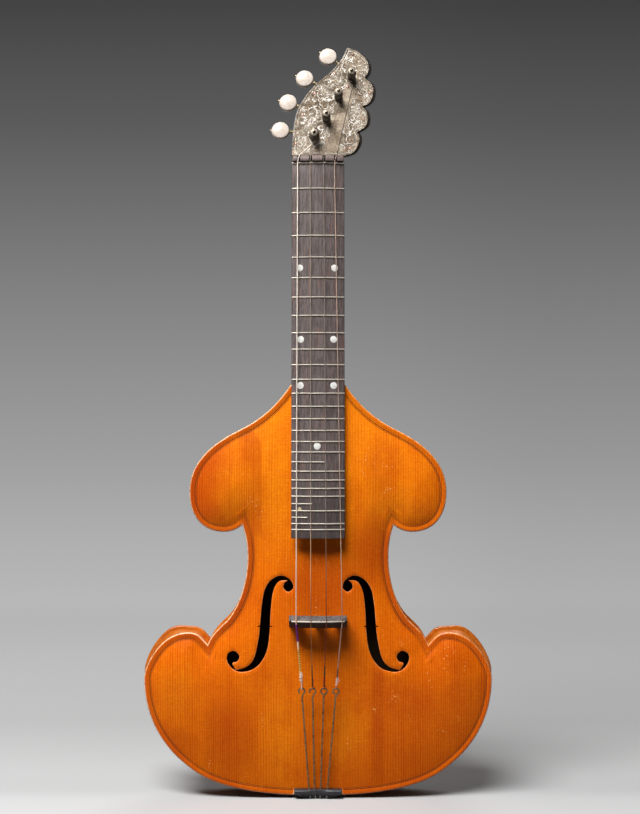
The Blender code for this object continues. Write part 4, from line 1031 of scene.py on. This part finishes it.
def build_neck():
    shank = ZERO_FRET_Z - TOP_Z

    def front(z):
        return crest(z) + BOARD_DEPTH + 0.15

    # Height over the body, half width, depth, squareness of the flanks and sink of the front
    rings = [(0.1, NECK_HALF, RIB_HALF - 0.2 - front(TOP_Z), 0.6, 0), (6, NECK_HALF, 34.8, 0.62, 0),
             (13, NECK_HALF, 30.95, 0.7, 0), (22, NECK_HALF, 23.1, 0.85, 0), (34, NECK_HALF, 18.4, 0.9, 0),
             (0.536 * shank, NECK_HALF, 15.3, 0.9, 0), (0.85 * shank, NECK_HALF, 14.0, 0.9, 0),
             (shank - 7.9, 18.5, 14.05, 0.85, 0), (shank + 4.5, 18.4, 14.3, 0.75, 0),
             (shank + 9.5, 17.5, 12.6, 0.7, 1.6)]
    skins = []
    for up, half, depth, square, sink in [*catmull(rings, 5), np.array(rings[-1])]:
        z, ring = TOP_Z + up, []
        for a in np.linspace(0, math.pi, 41):
            c, s = math.cos(a), math.sin(a)
            ring.append((half * math.copysign(abs(c) ** square, c), front(z) + sink + depth * s ** square, z))
        skins.append(ring)
    neck = loft("neck_wood", skins)
    layers = [[on_head(x, s, h) for x, s in core_loop(t)]
              for t, h in ((0.5, -1.35), (0.5, -4.0), (-2.2, -8.4), (-4.8, -12.9))]
    cut(neck, bevelled(loft("core", layers), 0.5, 3, 50), "UNION")
    cut(neck, head_slab("recess", RECESS, -RECESS_DEPTH, 6))
    for i in range(4):
        place, reach = station(i)
        drill(neck, 1.75, 0, reach + 6, place)
        drill(neck, 2.0, -POST_SEAT, -6, post_place(i))
    show(neck, "neck_and_head_core", MAPLE, stands_for=["neck"], angle=32)


def fret_wire(z, x0, x1, rise, wide):
    """A fret across the board: a round crown that follows the camber, with rounded ends."""
    rings = []
    for x in np.linspace(x0, x1, 15):
        end = min(abs(x - x0), abs(x1 - x))
        top = rise * (0.55 if end < 0.05 else 1)
        y = crest(z) + camber(x)
        rings.append([(x, y + 0.5, z - wide / 2)] + [
            (x, y - top * math.sin(a), z - wide / 2 * math.cos(a)) for a in np.linspace(0, math.pi, 8)]
            + [(x, y + 0.5, z + wide / 2)])
    return loft("fret", rings)


def build_board():
    half = BOARD_HALF
    xs = np.linspace(-half, half, 25)
    rings = []
    for z in np.linspace(ZERO_FRET_Z + 0.8, BOARD_END_Z, 24):
        y = crest(z)
        rings.append([(-half + 0.5, y + BOARD_DEPTH, z)] + [(x, y + camber(x), z) for x in xs]
                     + [(half - 0.5, y + BOARD_DEPTH, z)])
    board = bevelled(loft("board", rings), 0.45, 3, 50)
    show(board, "cambered_board", BOARD_WOOD, stands_for=["fingerboard"])
    part_width = {18: 4.6, 23: -4.2, 25: -7.4}
    frets = []
    for n in range(1, FRET_COUNT + 1):
        z = ZERO_FRET_Z - FRET_SCALE * (1 - 2 ** (-n / 12)) / math.hypot(1, BOARD_SLOPE)
        frets.append(fret_wire(z, -half + 0.25, part_width.get(n, half - 0.25), 0.8, 0.95))
    show(joined(frets), "fret_wires", NICKEL)
    zero = fret_wire(ZERO_FRET_Z, -half + 0.3, half - 0.3, ZERO_RISE, 1.3)
    show(zero, "zero_fret_wire", NICKEL, stands_for=["zero_fret"])
    dots = [(-13.0, 377.9), (11.8, 377.9), (-12.3, 326.7), (11.1, 326.7), (-12.5, 293.9), (11.1, 293.9),
            (-0.6, 251.1)]
    for name, spots, r, finish in (("position_dots", dots, 2.45, DOT_PEARL),
                                   ("small_dot", [(-13.0, 206.8)], 1.35, YELLOW_DOT)):
        pieces = []
        for x, z in spots:
            slant = math.asin(x / BOARD_CAMBER)
            normal = Vector((math.sin(slant), -math.cos(slant), BOARD_SLOPE)).normalized()
            u = Vector((0, 0, 1)).cross(normal).normalized()
            disc = primitive(bpy.ops.mesh.primitive_cylinder_add, vertices=40, radius=r, depth=0.8,
                             location=(0, 0, -0.36))
            bpy.ops.object.transform_apply(location=True)
            disc.data.transform(placement((x, crest(z) + camber(x), z), u, normal.cross(u), normal))
            pieces.append(bevelled(disc, 0.08, 2, 50))
        show(joined(pieces), name, finish)
    build_nut()


def string_y(i, z):
    """Height of a string's centre line between the zero fret and the bridge."""
    r, _, x_bridge, x_zero, _ = STRINGS[i]
    top = crest(ZERO_FRET_Z) + camber(x_zero) - ZERO_RISE - r
    low = saddle_top(x_bridge) - r
    return top + (low - top) * (ZERO_FRET_Z - z) / (ZERO_FRET_Z - BRIDGE_Z)


def saddle_top(x):
    return ZERO_CREST_Y - ZERO_RISE - SADDLE_REACH + camber(x)


def build_nut():
    z0, z1 = ZERO_FRET_Z + 1.1, NUT_TOP_Z - 0.2
    base = crest(ZERO_FRET_Z) + BOARD_DEPTH

    def section(x):
        y = ZERO_CREST_Y + camber(x) - 2.6
        return (base, z0), (base, z1), (y + 1.6, z1), (y + 0.5, z0 + 3.0), (y, z0 + 1.8), (y, z0)

    nut = crossbar("nut_block", 18.3, 21, section, 0.35, 3, 40)
    for i, (r, _, _, x_zero, x_nut) in enumerate(STRINGS):
        y = string_y(i, ZERO_FRET_Z)
        slot = []
        for z, w in ((ZERO_FRET_Z - 1, r + 0.85), (NUT_TOP_Z + 1, r + 0.6)):
            x = x_zero + (x_nut - x_zero) * (z - ZERO_FRET_Z) / (NUT_TOP_Z - ZERO_FRET_Z)
            slot.append([(x - w, y - 9, z), (x + w, y - 9, z)]
                        + [(x + w * math.cos(a), y + w * math.sin(a), z) for a in np.linspace(0, math.pi, 7)])
        cut(nut, loft("slot", slot))
    show(nut, "slotted_nut", NUT_WOOD, stands_for=["nut"])


# Bridge, end saddle and tail wires

def build_bridge():
    base = FRONT_Y - ARCH * 0.977 - 0.1

    def section(x):
        y = saddle_top(x) + 1.1
        return [(at, BRIDGE_Z + up) for at, up in ((base, -4.6), (y + 4.5, -5.0), (y + 3.4, -4.6), (y, -0.8),
                                                   (y, 0.8), (y + 3.4, 3.3), (y + 4.5, 3.6), (base, 1.8))]

    bridge = crossbar("bridge_wood", 20.3, 25, section, 0.5, 3, 35)
    for x in (-7.2, 7.2):
        bow = [(x + 4.7 * math.cos(a), base - 9.0 * math.sin(a)) for a in np.linspace(0, math.pi, 25)]
        bow = [(x + 4.7, base + 4)] + bow + [(x - 4.7, base + 4)]
        cut(bridge, slab("bow", [(px, py, BRIDGE_Z - 8) for px, py in bow], (0, 0, 16)))
    for x in (-19.0, 19.0):
        groove = [(x + dx, -60, BRIDGE_Z + dz) for dx, dz in ((-0.25, -8), (0.25, -8), (0.25, 8), (-0.25, 8))]
        cut(bridge, slab("groove", groove, (0, 60 + saddle_top(19) + 2.1, 0)))
    show(bridge, "ebony_bridge", BRIDGE_EBONY, stands_for=["bridge"])
    points = [(x, saddle_top(x) + 0.5, BRIDGE_Z) for x in np.linspace(-18.4, 18.4, 13)]
    show(wire("saddle_wire", [points], 0.5), "saddle_rod", NICKEL, stands_for=["bridge_saddle"])


def hook_y(z):
    """Line of the tail wires from the end saddle up to the bridge."""
    foot = FRONT_Y - 2.2
    return foot - (z - END_SADDLE_Z) * (foot - saddle_top(0) - 0.6) / (BRIDGE_Z - END_SADDLE_Z)


def build_tail():
    low, back = 2.8, -RIB_HALF - 0.1

    def section(x):
        dish = 0.9 * math.cos(x / 10.5 * math.pi / 2) ** 2 if abs(x) < 10.5 else 0
        return ((back, low), (back, END_SADDLE_Z), (FRONT_Y - 2.8, END_SADDLE_Z),
                (FRONT_Y - 4.0 + dish, 5.6 - dish), (FRONT_Y - 3.6 + dish, low))

    saddle = crossbar("saddle", 16.7, 41, section, 0.35, 3, 30)
    foot = [(-14.0, 1.9), (-11.0, 0), (11.0, 0), (14.0, 1.9), (14.0, 4.1), (-14.0, 4.1)]
    block = slab("foot", [(x, FRONT_Y - 0.6, z) for x, z in foot], (0, 0.6 - FRONT_Y + RIB_HALF, 0))
    cut(saddle, bevelled(block, 0.25, 2, 30), "UNION")
    show(saddle, "ebony_end_saddle", EBONY, stands_for=["end_saddle"])
    staple = ((0.2, 2.4), (-1.3, 2.5), (-1.5, 1.6), (-1.3, 0.9), (0.2, 0.8))
    pins = [wire("pin", [[(x_low, FRONT_Y + y, z) for y, z in staple]], 0.4) for _, x_low in HOOK_FEET]
    show(joined(pins), "tail_staples", STAPLE_METAL)
    sweeps = ((-48, 222), (-48, 214), (-60, 268), (-60, 262))   # of the open eyes, in degrees
    for i, ((x_up, x_low), (first, last)) in enumerate(zip(HOOK_FEET, sweeps)):
        x = STRINGS[i][1]
        neck_z = EYE_Z - EYE_NECK
        x_neck = x_up + (x - x_up) * (neck_z - 7) / (EYE_Z - 7)
        points = [(x_low, FRONT_Y - 1.4, 3.4), (x_up, hook_y(END_SADDLE_Z), END_SADDLE_Z)]
        for t in (0.05, 0.5, 0.93, 1.0):
            z = END_SADDLE_Z + (neck_z - END_SADDLE_Z) * t
            points.append((x_up + (x_neck - x_up) * t, hook_y(z), z))
        for a in np.linspace(first, last, 16):
            px, pz = x + EYE_R * math.cos(math.radians(a)), EYE_Z + EYE_R * math.sin(math.radians(a))
            points.append((px, hook_y(pz) - 0.25 * (a - first) / (last - first), pz))
        show(wire("hook", [points], HOOK_WIRE), f"hooked_wire_{i + 1}", HOOK_METAL,
             stands_for=[f"tail_hook_{i + 1}"])


# Strings

def twist(path, offset, pitch):
    """Two threads laid round a path in a helix; returns their points."""
    path = [Vector(p) for p in path]
    lengths = [0.0]
    for a, b in zip(path, path[1:]):
        lengths.append(lengths[-1] + (b - a).length)
    out = [[], []]
    steps = int(lengths[-1] / pitch * 9)
    for k in range(steps + 1):
        at = lengths[-1] * k / steps
        j = max(0, min(len(path) - 2, int(np.searchsorted(lengths, at)) - 1))
        part = (at - lengths[j]) / (lengths[j + 1] - lengths[j])
        centre = path[j].lerp(path[j + 1], part)
        run = (path[j + 1] - path[j]).normalized()
        u = run.cross(Vector((0, 1, 0))).normalized()
        v = run.cross(u)
        for s, thread in enumerate(out):
            a = 2 * math.pi * (at / pitch + s / 2)
            thread.append(centre + (u * math.cos(a) + v * math.sin(a)) * offset)
    return out


def knot(centre, size, turns):
    """A tight lump of thread: a coil that winds round itself."""
    points = []
    for k in range(turns * 14):
        t = 2 * math.pi * k / 14
        points.append(Vector(centre) + Vector((math.cos(t) * size * (0.75 + 0.25 * math.cos(t / turns * 2)),
                                               math.sin(t) * size * 0.8, size * 1.3 * math.cos(t / turns))))
    return points


def leave_point(i):
    """Where a string meets its post: contact point, heading and the radius of its centre line."""
    r, x_nut = STRINGS[i][0], STRINGS[i][4]
    rc = SPOOL_R + 0.15 + r
    run = Vector(POSTS[i]) - Vector((x_nut, 0.0))
    g = math.atan2(run.y, run.x) - math.asin(rc / run.length)
    touch = Vector(POSTS[i]) + Vector((math.sin(g), -math.cos(g))) * rc
    return touch, g, rc


def round_post(i, radius, angle, height):
    return on_head(POSTS[i][0] + radius * math.cos(angle), POSTS[i][1] + radius * math.sin(angle), height)


def build_strings():
    for i, (r, x_hook, x_bridge, x_zero, x_nut) in enumerate(STRINGS):
        z_top = EYE_Z + EYE_R
        y_top = hook_y(z_top)
        bend = r + HOOK_WIRE
        lift = string_y(i, BRIDGE_Z)
        points = [(x_hook + 0.5, y_top + bend * 0.7, z_top + 6.5), (x_hook + 0.2, y_top + bend, z_top + 1.6)]
        points += [(x_hook, y_top + bend * math.cos(a), z_top - bend * math.sin(a))
                   for a in np.linspace(0, math.pi, 7)]
        share = 2.5 / (BRIDGE_Z - z_top)
        near_bridge = (x_bridge + (x_hook - x_bridge) * share, lift + (y_top - bend - lift) * share)
        points += [(*near_bridge, BRIDGE_Z - 2.5), (x_bridge, lift, BRIDGE_Z)]
        for t in (0.01, 0.5, 0.99):
            z = BRIDGE_Z + (ZERO_FRET_Z - BRIDGE_Z) * t
            points.append((x_bridge + (x_zero - x_bridge) * t, string_y(i, z), z))
        y = string_y(i, ZERO_FRET_Z)
        nut = Vector((x_nut, y + 0.15, NUT_TOP_Z - 0.2))
        points += [(x_zero, y, ZERO_FRET_Z), nut]
        # Under the windings the string lies once round the spool, clear of the coil that turns above it
        touch, g, rc = leave_point(i)
        low = COIL_FOOT - 2 * r - 0.15
        start = on_head(touch.x, touch.y, low)
        points += [nut.lerp(start, t) for t in (0.06, 0.5, 0.94)]
        points += [round_post(i, rc, g - math.pi / 2 + 1.6 * math.pi * k / 14, low) for k in range(15)]
        show(wire("string", [points], r), f"tuned_string_{i + 1}", STRING_METALS[i],
             stands_for=[f"string_{i + 1}"])
        # The coil climbs the spool, and every third turn or so has crossed over its neighbours
        pitch = 2 * r + 0.06
        coil = []
        for k in range(int((POST_TOP - 3.7 - COIL_FOOT) / pitch * 20) + 1):
            over = max(0.0, math.sin(2 * math.pi * k / (20 * max(3.0, 1.9 / pitch)))) ** 0.5
            away = rc + over * 1.6 * r * min(1.0, k / 20)
            angle = g - math.pi / 2 + 2 * math.pi * k / 20
            coil.append(round_post(i, away, angle, COIL_FOOT + pitch * k / 20))
        # The windings take one near-black finish, darker than the strings they are wound from
        show(wire("coil", [coil], r, 2, smooth=False), f"wound_coil_{i + 1}", COIL_METAL,
             body=f"spindle_{i + 1}", stands_for=[f"winding_{i + 1}"])
    build_silk()


def tail_line(i, z):
    """Centre line of a string between its hook's eye and the bridge."""
    r, x_hook, x_bridge = STRINGS[i][:3]
    z_top = EYE_Z + EYE_R
    t = (z - z_top) / (BRIDGE_Z - z_top)
    y_top = hook_y(z_top) - r - HOOK_WIRE
    return Vector((x_hook + (x_bridge - x_hook) * t, y_top + (string_y(i, BRIDGE_Z) - y_top) * t, z))


def build_silk():
    purple, cream, gold = (0.13, 0.008, 0.15), (0.92, 0.66, 0.42), (1.0, 0.58, 0.12)
    first = silk("silk_one", (80, (0.80, 0.68, 0.56)), (90, (0.92, 0.80, 0.68)), (92.5, (0.85, 0.72, 0.58)),
                 (93.5, gold), (108, gold), (111, cream), (114.5, cream), (115.2, purple), (127.5, purple),
                 bars=(94, 109))
    green = silk("silk_three", (81, (0.02, 0.018, 0.016)), (85, (0.02, 0.02, 0.018)),
                 (86, (0.20, 0.008, 0.010)), (90, (0.16, 0.008, 0.010)), (91, (0.015, 0.040, 0.022)),
                 (97, (0.03, 0.02, 0.018)))
    brown = silk("silk_two", (81, (0.035, 0.020, 0.012)), (90, (0.06, 0.03, 0.018)), (98, (0.16, 0.08, 0.04)))
    pink = silk("silk_four", (80, (0.60, 0.40, 0.32)), (84, (0.82, 0.60, 0.50)), (88, (0.80, 0.58, 0.48)),
                (90, (0.10, 0.05, 0.04)), (94, (0.12, 0.06, 0.05)), (97, (0.42, 0.23, 0.14)),
                (110, (0.38, 0.21, 0.14)), (128, (0.26, 0.16, 0.12)))
    # String, finish, span of height, then the thread's thickness, offset and pitch, and the knots with their
    # height, size and turns
    plans = ((0, first, 127.0, 92.0, 0.34, 0.42, 1.7, [(90.2, 0.95, 4), (88.2, 0.8, 3)]),
             (3, pink, 126.0, 88.0, 0.24, 0.32, 1.1, [(86.4, 0.8, 4), (84.4, 0.6, 3)]),
             (2, green, 97.0, 82.5, 0.22, 0.34, 1.2, [(91.6, 0.6, 3), (88.2, 0.72, 3), (86.0, 0.62, 3)]),
             (1, brown, 98.0, 82.5, 0.18, 0.3, 0.9, [(84.5, 0.45, 3)]))
    for i, finish, high, low, thick, offset, pitch, knots in plans:
        strands = twist([tail_line(i, z) for z in np.linspace(high, low, 6)], offset, pitch)
        strands += [knot(tail_line(i, z), size, turns) for z, size, turns in knots]
        tail = tail_line(i, low + 1.5)
        strands.append([tail, tail + Vector((1.0, -0.3, -1.2)), tail + Vector((1.5, 0.1, -3.4))])
        show(wire("silk", strands, thick, 2), f"silk_wrap_{i + 1}", finish)


# Head

def scroll(cx, cs, size, start, turns, hand):
    """A tapering spiral that ends in a bead, with four curved leaves on its outer half."""
    def arm(t):
        return start + hand * 2 * math.pi * turns * t, size * (1 - 0.86 * t ** 0.8)

    spine = []
    steps = max(10, int(turns * 16))
    for k in range(steps + 1):
        t = k / steps
        a, radius = arm(t)
        thick = 0.45 + 0.75 * math.sin(math.pi * min(1, t * 1.15)) ** 0.6 if t < 0.9 else 1.6
        spine.append((cx + radius * math.cos(a), cs + radius * math.sin(a), 0.0, thick))
    strands = [spine]
    for k in range(4):
        a, radius = arm(0.04 + 0.42 * k / 4)
        leaf = []
        for u in (0.0, 0.2, 0.4, 0.6, 0.8, 1.0):
            grow = radius + size * 0.62 * math.sin(u * 1.7)
            b = a - hand * 0.75 * u * u - hand * 0.1
            thick = 0.25 + 1.25 * math.sin(math.pi * u)
            leaf.append((cx + grow * math.cos(b), cs + grow * math.sin(b), 0.0, thick))
        strands.append(leaf)
    return strands


def build_head():
    plate = head_slab("plate", head_loop(0, 8), -PLATE_THICK, 0)
    edit(plate)
    pick(plate, lambda c, n: n.dot(HEAD_N) > 0.9)
    bpy.ops.mesh.inset(thickness=1.0, depth=0)
    bpy.ops.mesh.inset(thickness=0.25, depth=-0.18)
    closed(plate)
    for i in range(4):
        drill(plate, 2.15, -6, 6, post_place(i), 32)
    bevelled(plate, 0.22, 2, 50)
    show(plate, "engraved_plate", engraved_ground(), stands_for=["head_plate"])
    build_scrolls()
    build_border()
    screw = turned_piece("screw", [(0, -0.6), (1.15, -0.6), (1.15, 0.05), (0.95, 0.32), (0.5, 0.48),
                                   (0, 0.52)], Matrix.Identity(4), 24)
    cut(screw, primitive(bpy.ops.mesh.primitive_cube_add, size=1, location=(0, 0, 0.55), scale=(3, 0.3, 0.5)))
    heads = []
    for k, (x, s) in enumerate(SCREWS):
        turn = Matrix.Rotation(0.7 + 1.3 * k, 4, "Z")
        heads.append(copied(screw, HEAD @ Matrix.Translation((x, s, -0.05)) @ turn))
    bpy.data.objects.remove(screw)
    show(joined(heads), "plate_screws", COPPER_SCREW)
    washer = [(2.2, -0.18), (3.4, -0.18), (3.4, 0.2), (3.1, 0.36), (2.5, 0.36), (2.2, 0.2), (2.2, -0.18)]
    rings = [turned_piece("washer", washer, post_place(i)) for i in range(4)]
    show(joined(rings), "post_washers", WASHER_METAL)


def build_scrolls():
    # Centre, size, first angle, turns and hand of each spiral, in the plate's own coordinates
    spirals = [
        (-12.4, 22.6, 4.3, 3.4, 1.3, -1), (-12.6, 11.0, 4.0, 0.3, 1.2, 1), (-4.6, 36.0, 5.2, 4.4, 1.4, 1),
        (-9.6, 33.0, 3.0, 1.0, 1.1, -1), (3.0, 50.0, 4.6, 5.2, 1.3, -1), (5.6, 40.4, 3.8, 1.2, 1.2, 1),
        (10.8, 55.0, 4.0, 4.0, 1.2, 1), (16.6, 57.5, 3.2, 0.4, 1.1, -1), (15.2, 65.6, 3.6, 3.2, 1.2, 1),
        (20.2, 72.0, 3.9, 5.5, 1.3, -1), (30.4, 74.8, 4.4, 1.4, 1.3, 1), (31.0, 66.4, 3.2, 4.6, 1.1, -1),
        (33.0, 52.6, 4.6, 2.4, 1.4, 1), (28.8, 46.4, 3.2, 5.4, 1.1, -1), (29.6, 31.6, 4.4, 1.9, 1.3, 1),
        (24.6, 25.6, 3.0, 4.2, 1.1, -1), (23.6, 13.8, 4.4, 1.2, 1.3, 1), (18.2, 8.0, 2.8, 4.0, 1.0, -1),
        (-2.8, 26.0, 3.6, 2.2, 1.1, 1), (-6.2, 16.0, 3.0, 5.0, 1.0, -1), (0.8, 8.6, 3.0, 1.0, 1.1, 1),
        (7.0, 17.4, 2.6, 3.6, 1.0, -1), (9.4, 46.4, 2.4, 2.0, 1.0, -1), (24.0, 78.8, 2.6, 3.0, 1.0, 1)]

    # Small curls fill what the big ones leave, clear of the posts, the screws and the plain band
    def clear_of(places, at, distance):
        return min(math.dist(at, p) for p in places) >= distance

    rng = np.random.default_rng(11)
    inner = [tuple(p) for p in head_loop(-3.0, 4)]
    for x, s in rng.uniform((-15, 2), (40, 84), (1500, 2)):
        size = rng.uniform(1.5, 2.3)
        if -0.4 < x - BAND_SLOPE * s < 13.6 or not within([(x, s)], inner)[0]:
            continue
        if not clear_of(POSTS, (x, s), 3.2 + size) or not clear_of(SCREWS, (x, s), 1.6 + size):
            continue
        if all(math.dist((x, s), row[:2]) > 0.8 * (size + row[2]) for row in spirals):
            spirals.append((x, s, size, rng.uniform(0, 6.3), 1.1, rng.choice((-1, 1))))
    strands = []
    limit = [tuple(p) for p in head_loop(-1.5, 4)]
    for spiral in spirals:
        for strand in scroll(*spiral):
            kept = within([p[:2] for p in strand], limit)
            stop = len(strand) if all(kept) else int(np.argmin(kept))
            if stop > 3:
                strands.append(strand[:stop])
    relief = wire("scrolls", strands, 0.25, 1)
    relief.data.transform(HEAD @ Matrix.Translation((0, 0, -0.17)) @ Matrix.Diagonal((1, 1, 0.75, 1)))
    show(relief, "plate_scrolls", SCROLL_METAL, angle=60)


def build_border():
    """A fine line and a row of beads inside the rim of the head plate."""
    line = [(p.x, p.y, 0.0) for p in head_loop(-1.7, 4)]
    rim = wire("border", [line + [line[0]]], 0.16, 1, smooth=False)
    rim.data.transform(HEAD @ Matrix.Translation((0, 0, -0.16)))
    dot = primitive(bpy.ops.mesh.primitive_uv_sphere_add, segments=8, ring_count=4, radius=0.34)
    beads = []
    loop = head_loop(-2.45, 6)
    step, left = 1.15, 0.0
    for a, b in zip(loop, loop[1:] + loop[:1]):
        run = (b - a).length
        while left < run:
            at = a.lerp(b, left / run)
            beads.append(copied(dot, Matrix.Translation(on_head(at.x, at.y, -0.16))))
            left += step
        left -= run
    bpy.data.objects.remove(dot)
    show(joined([rim] + beads), "plate_border", SCROLL_METAL, angle=60)


def build_tuners():
    # Radius and height over the plate, then radius and depth under the top
    post = [(0, -9.6), (1.6, -9.6), (1.6, 0.5), (2.9, 0.5), (2.95, 0.9), (2.8, 1.3), (SPOOL_R, 1.6)]
    post += [(r, POST_TOP - down) for r, down in (
        (SPOOL_R, 3.35), (2.45, 3.2), (2.62, 3.0), (2.62, 2.7), (2.4, 2.55), (2.4, 2.4), (2.6, 2.25),
        (2.45, 1.9), (2.0, 1.6), (1.35, 1.45), (0.9, 1.4), (0.85, 1.3), (1.08, 1.05), (1.12, 0.7),
        (0.9, 0.25), (0.5, 0.04), (0, 0))]
    half = [(0, 2.55), (5.4, 2.5), (5.95, 2.25), (6.3, 1.7), (6.45, 0.8), (6.5, 0)]
    disc = [(r, -h) for r, h in half[:-1]] + half[::-1]
    for i in range(4):
        show(turned_piece("post_turned", post, post_place(i), 48), f"string_post_{i + 1}", POST_METAL,
             body=f"spindle_{i + 1}", stands_for=[f"post_{i + 1}"])
        place, reach = station(i)
        hub = placement(place @ Vector((0, 0, reach)), (1, 0, 0), HEAD_S, HEAD_N)
        show(turned_piece("disc", disc, hub, 64), f"pearl_button_{i + 1}", BUTTON_PEARL,
             body=f"turner_{i + 1}", stands_for=[f"button_{i + 1}"])


def dress_nodes():
    """Gives the solids that stay in sight their finishes."""
    blocks = [f"corner_block_{p}_{s}" for p in ("lower", "upper") for s in ("left", "right")]
    inner = ["neck_block", "end_block", "front_lining", "back_lining", "bass_bar", "soundpost"]
    looks = {LIME: inner + blocks,
             BRASS: ["tuner_bed"] + [f"gear_{i}" for i in range(1, 5)],
             STEEL: [f"worm_{i}" for i in range(1, 5)]}
    for finish, names in looks.items():
        for name in names:
            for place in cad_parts[name].material_slots:
                place.material = finish.material


# Stage

def build_stage():
    """A pale floor that sweeps up into a wall which darkens upwards, four soft lamps and the camera."""
    # Distance behind the instrument and height of the sweep, in metres
    profile = [(-3.0, 0.0), (0.0, 0.0), (1.6, 0.0)]
    profile += [(1.6 + 1.0 * math.sin(a), 1.0 - math.cos(a)) for a in np.linspace(0.1, math.pi / 2, 15)]
    profile += [(2.6, 2.0), (2.6, 4.0)]
    verts = [(x, y, z) for x in (-5.0, 5.0) for y, z in profile]
    n = len(profile)
    sweep = mesh_object("sweep", verts, faces=[(i, n + i, n + i + 1, i + 1) for i in range(n - 1)])
    bpy.ops.object.shade_smooth()
    backdrop = Finish("backdrop")
    y, z = backdrop.y * MM, backdrop.z * MM
    # Height in the picture of each point of the sweep, as seen from the camera's own place
    rise = (z - CAMERA.z) / (y - CAMERA.y)
    shade = backdrop.ramp(rise * 1.8 + 0.5, *((at, (level,) * 3) for at, level in (
        (0.0, 0.54), (0.072, 0.515), (0.082, 0.50), (0.091, 0.445), (0.112, 0.45), (0.139, 0.415),
        (0.166, 0.385), (0.20, 0.40), (0.24, 0.444), (0.295, 0.478), (0.36, 0.428), (0.445, 0.346),
        (0.53, 0.285), (0.615, 0.226), (0.72, 0.155), (0.80, 0.106), (0.87, 0.080), (0.93, 0.058))))
    # Painted shadow: the sweep is up to a tenth darker towards the right, as if in a broad soft shadow
    across = backdrop.x * MM / (y - CAMERA.y)
    shade = backdrop.mix(across.between(0.0, 0.14) * 0.1, shade, (0.0, 0.0, 0.0))
    # What the camera and reflections see is pale; soft bounces see it darker, which keeps the shadows deep
    seen = largest(backdrop.node("ShaderNodeLightPath", {}, {}, ray)
                   for ray in ("Is Camera Ray", "Is Glossy Ray", "Is Transmission Ray"))
    lit = backdrop.mix(seen, (0.09, 0.09, 0.09), shade)
    plain = backdrop.node("ShaderNodeBsdfDiffuse", {}, {"Color": lit})
    glow = backdrop.node("ShaderNodeEmission", {}, {"Color": shade})
    far = y.between(0.35, 1.1)
    mixed = backdrop.node("ShaderNodeMixShader", {}, {0: far * seen, 1: plain, 2: glow})
    backdrop.tree.links.new(mixed.socket, backdrop.tree.nodes["Material Output"].inputs["Surface"])
    sweep.data.materials.append(backdrop.material)

    for name, place, wide, high, power in (("key_lamp", (-0.70, -1.30, 2.30), 1.9, 1.1, 118),
                                           ("fill_lamp", (-2.2, -1.2, 0.7), 1.6, 1.6, 0.8),
                                           ("right_lamp", (2.0, -0.9, 1.2), 1.4, 1.4, 0.8),
                                           ("back_lamp", (0.4, 1.9, 1.8), 1.6, 1.6, 24)):
        lamp = primitive(bpy.ops.object.light_add, type="AREA", location=place)
        lamp.name = name
        lamp.data.shape, lamp.data.size, lamp.data.size_y, lamp.data.energy = "ELLIPSE", wide, high, power
        lamp.rotation_euler = (Vector((0, 0, 0.27)) - Vector(place)).to_track_quat("-Z", "Y").to_euler()
    world = bpy.data.worlds.new("studio")
    bpy.context.scene.world = world
    world.use_nodes = True
    world.node_tree.nodes["Background"].inputs["Color"].default_value = (0.5, 0.5, 0.5, 1)
    world.node_tree.nodes["Background"].inputs["Strength"].default_value = 0.05
    camera = bpy.data.objects.new("camera", bpy.data.cameras.new("camera"))
    bpy.context.scene.collection.objects.link(camera)
    camera.location = CAMERA
    camera.rotation_euler = (math.pi / 2, 0, 0)
    camera.data.lens = LENS
    camera.data.clip_start = 0.01
    bpy.context.scene.camera = camera
    bpy.context.scene.view_settings.view_transform = "Standard"


build_body()
build_neck()
build_board()
build_bridge()
build_tail()
build_strings()
build_head()
build_tuners()
dress_nodes()
build_stage()
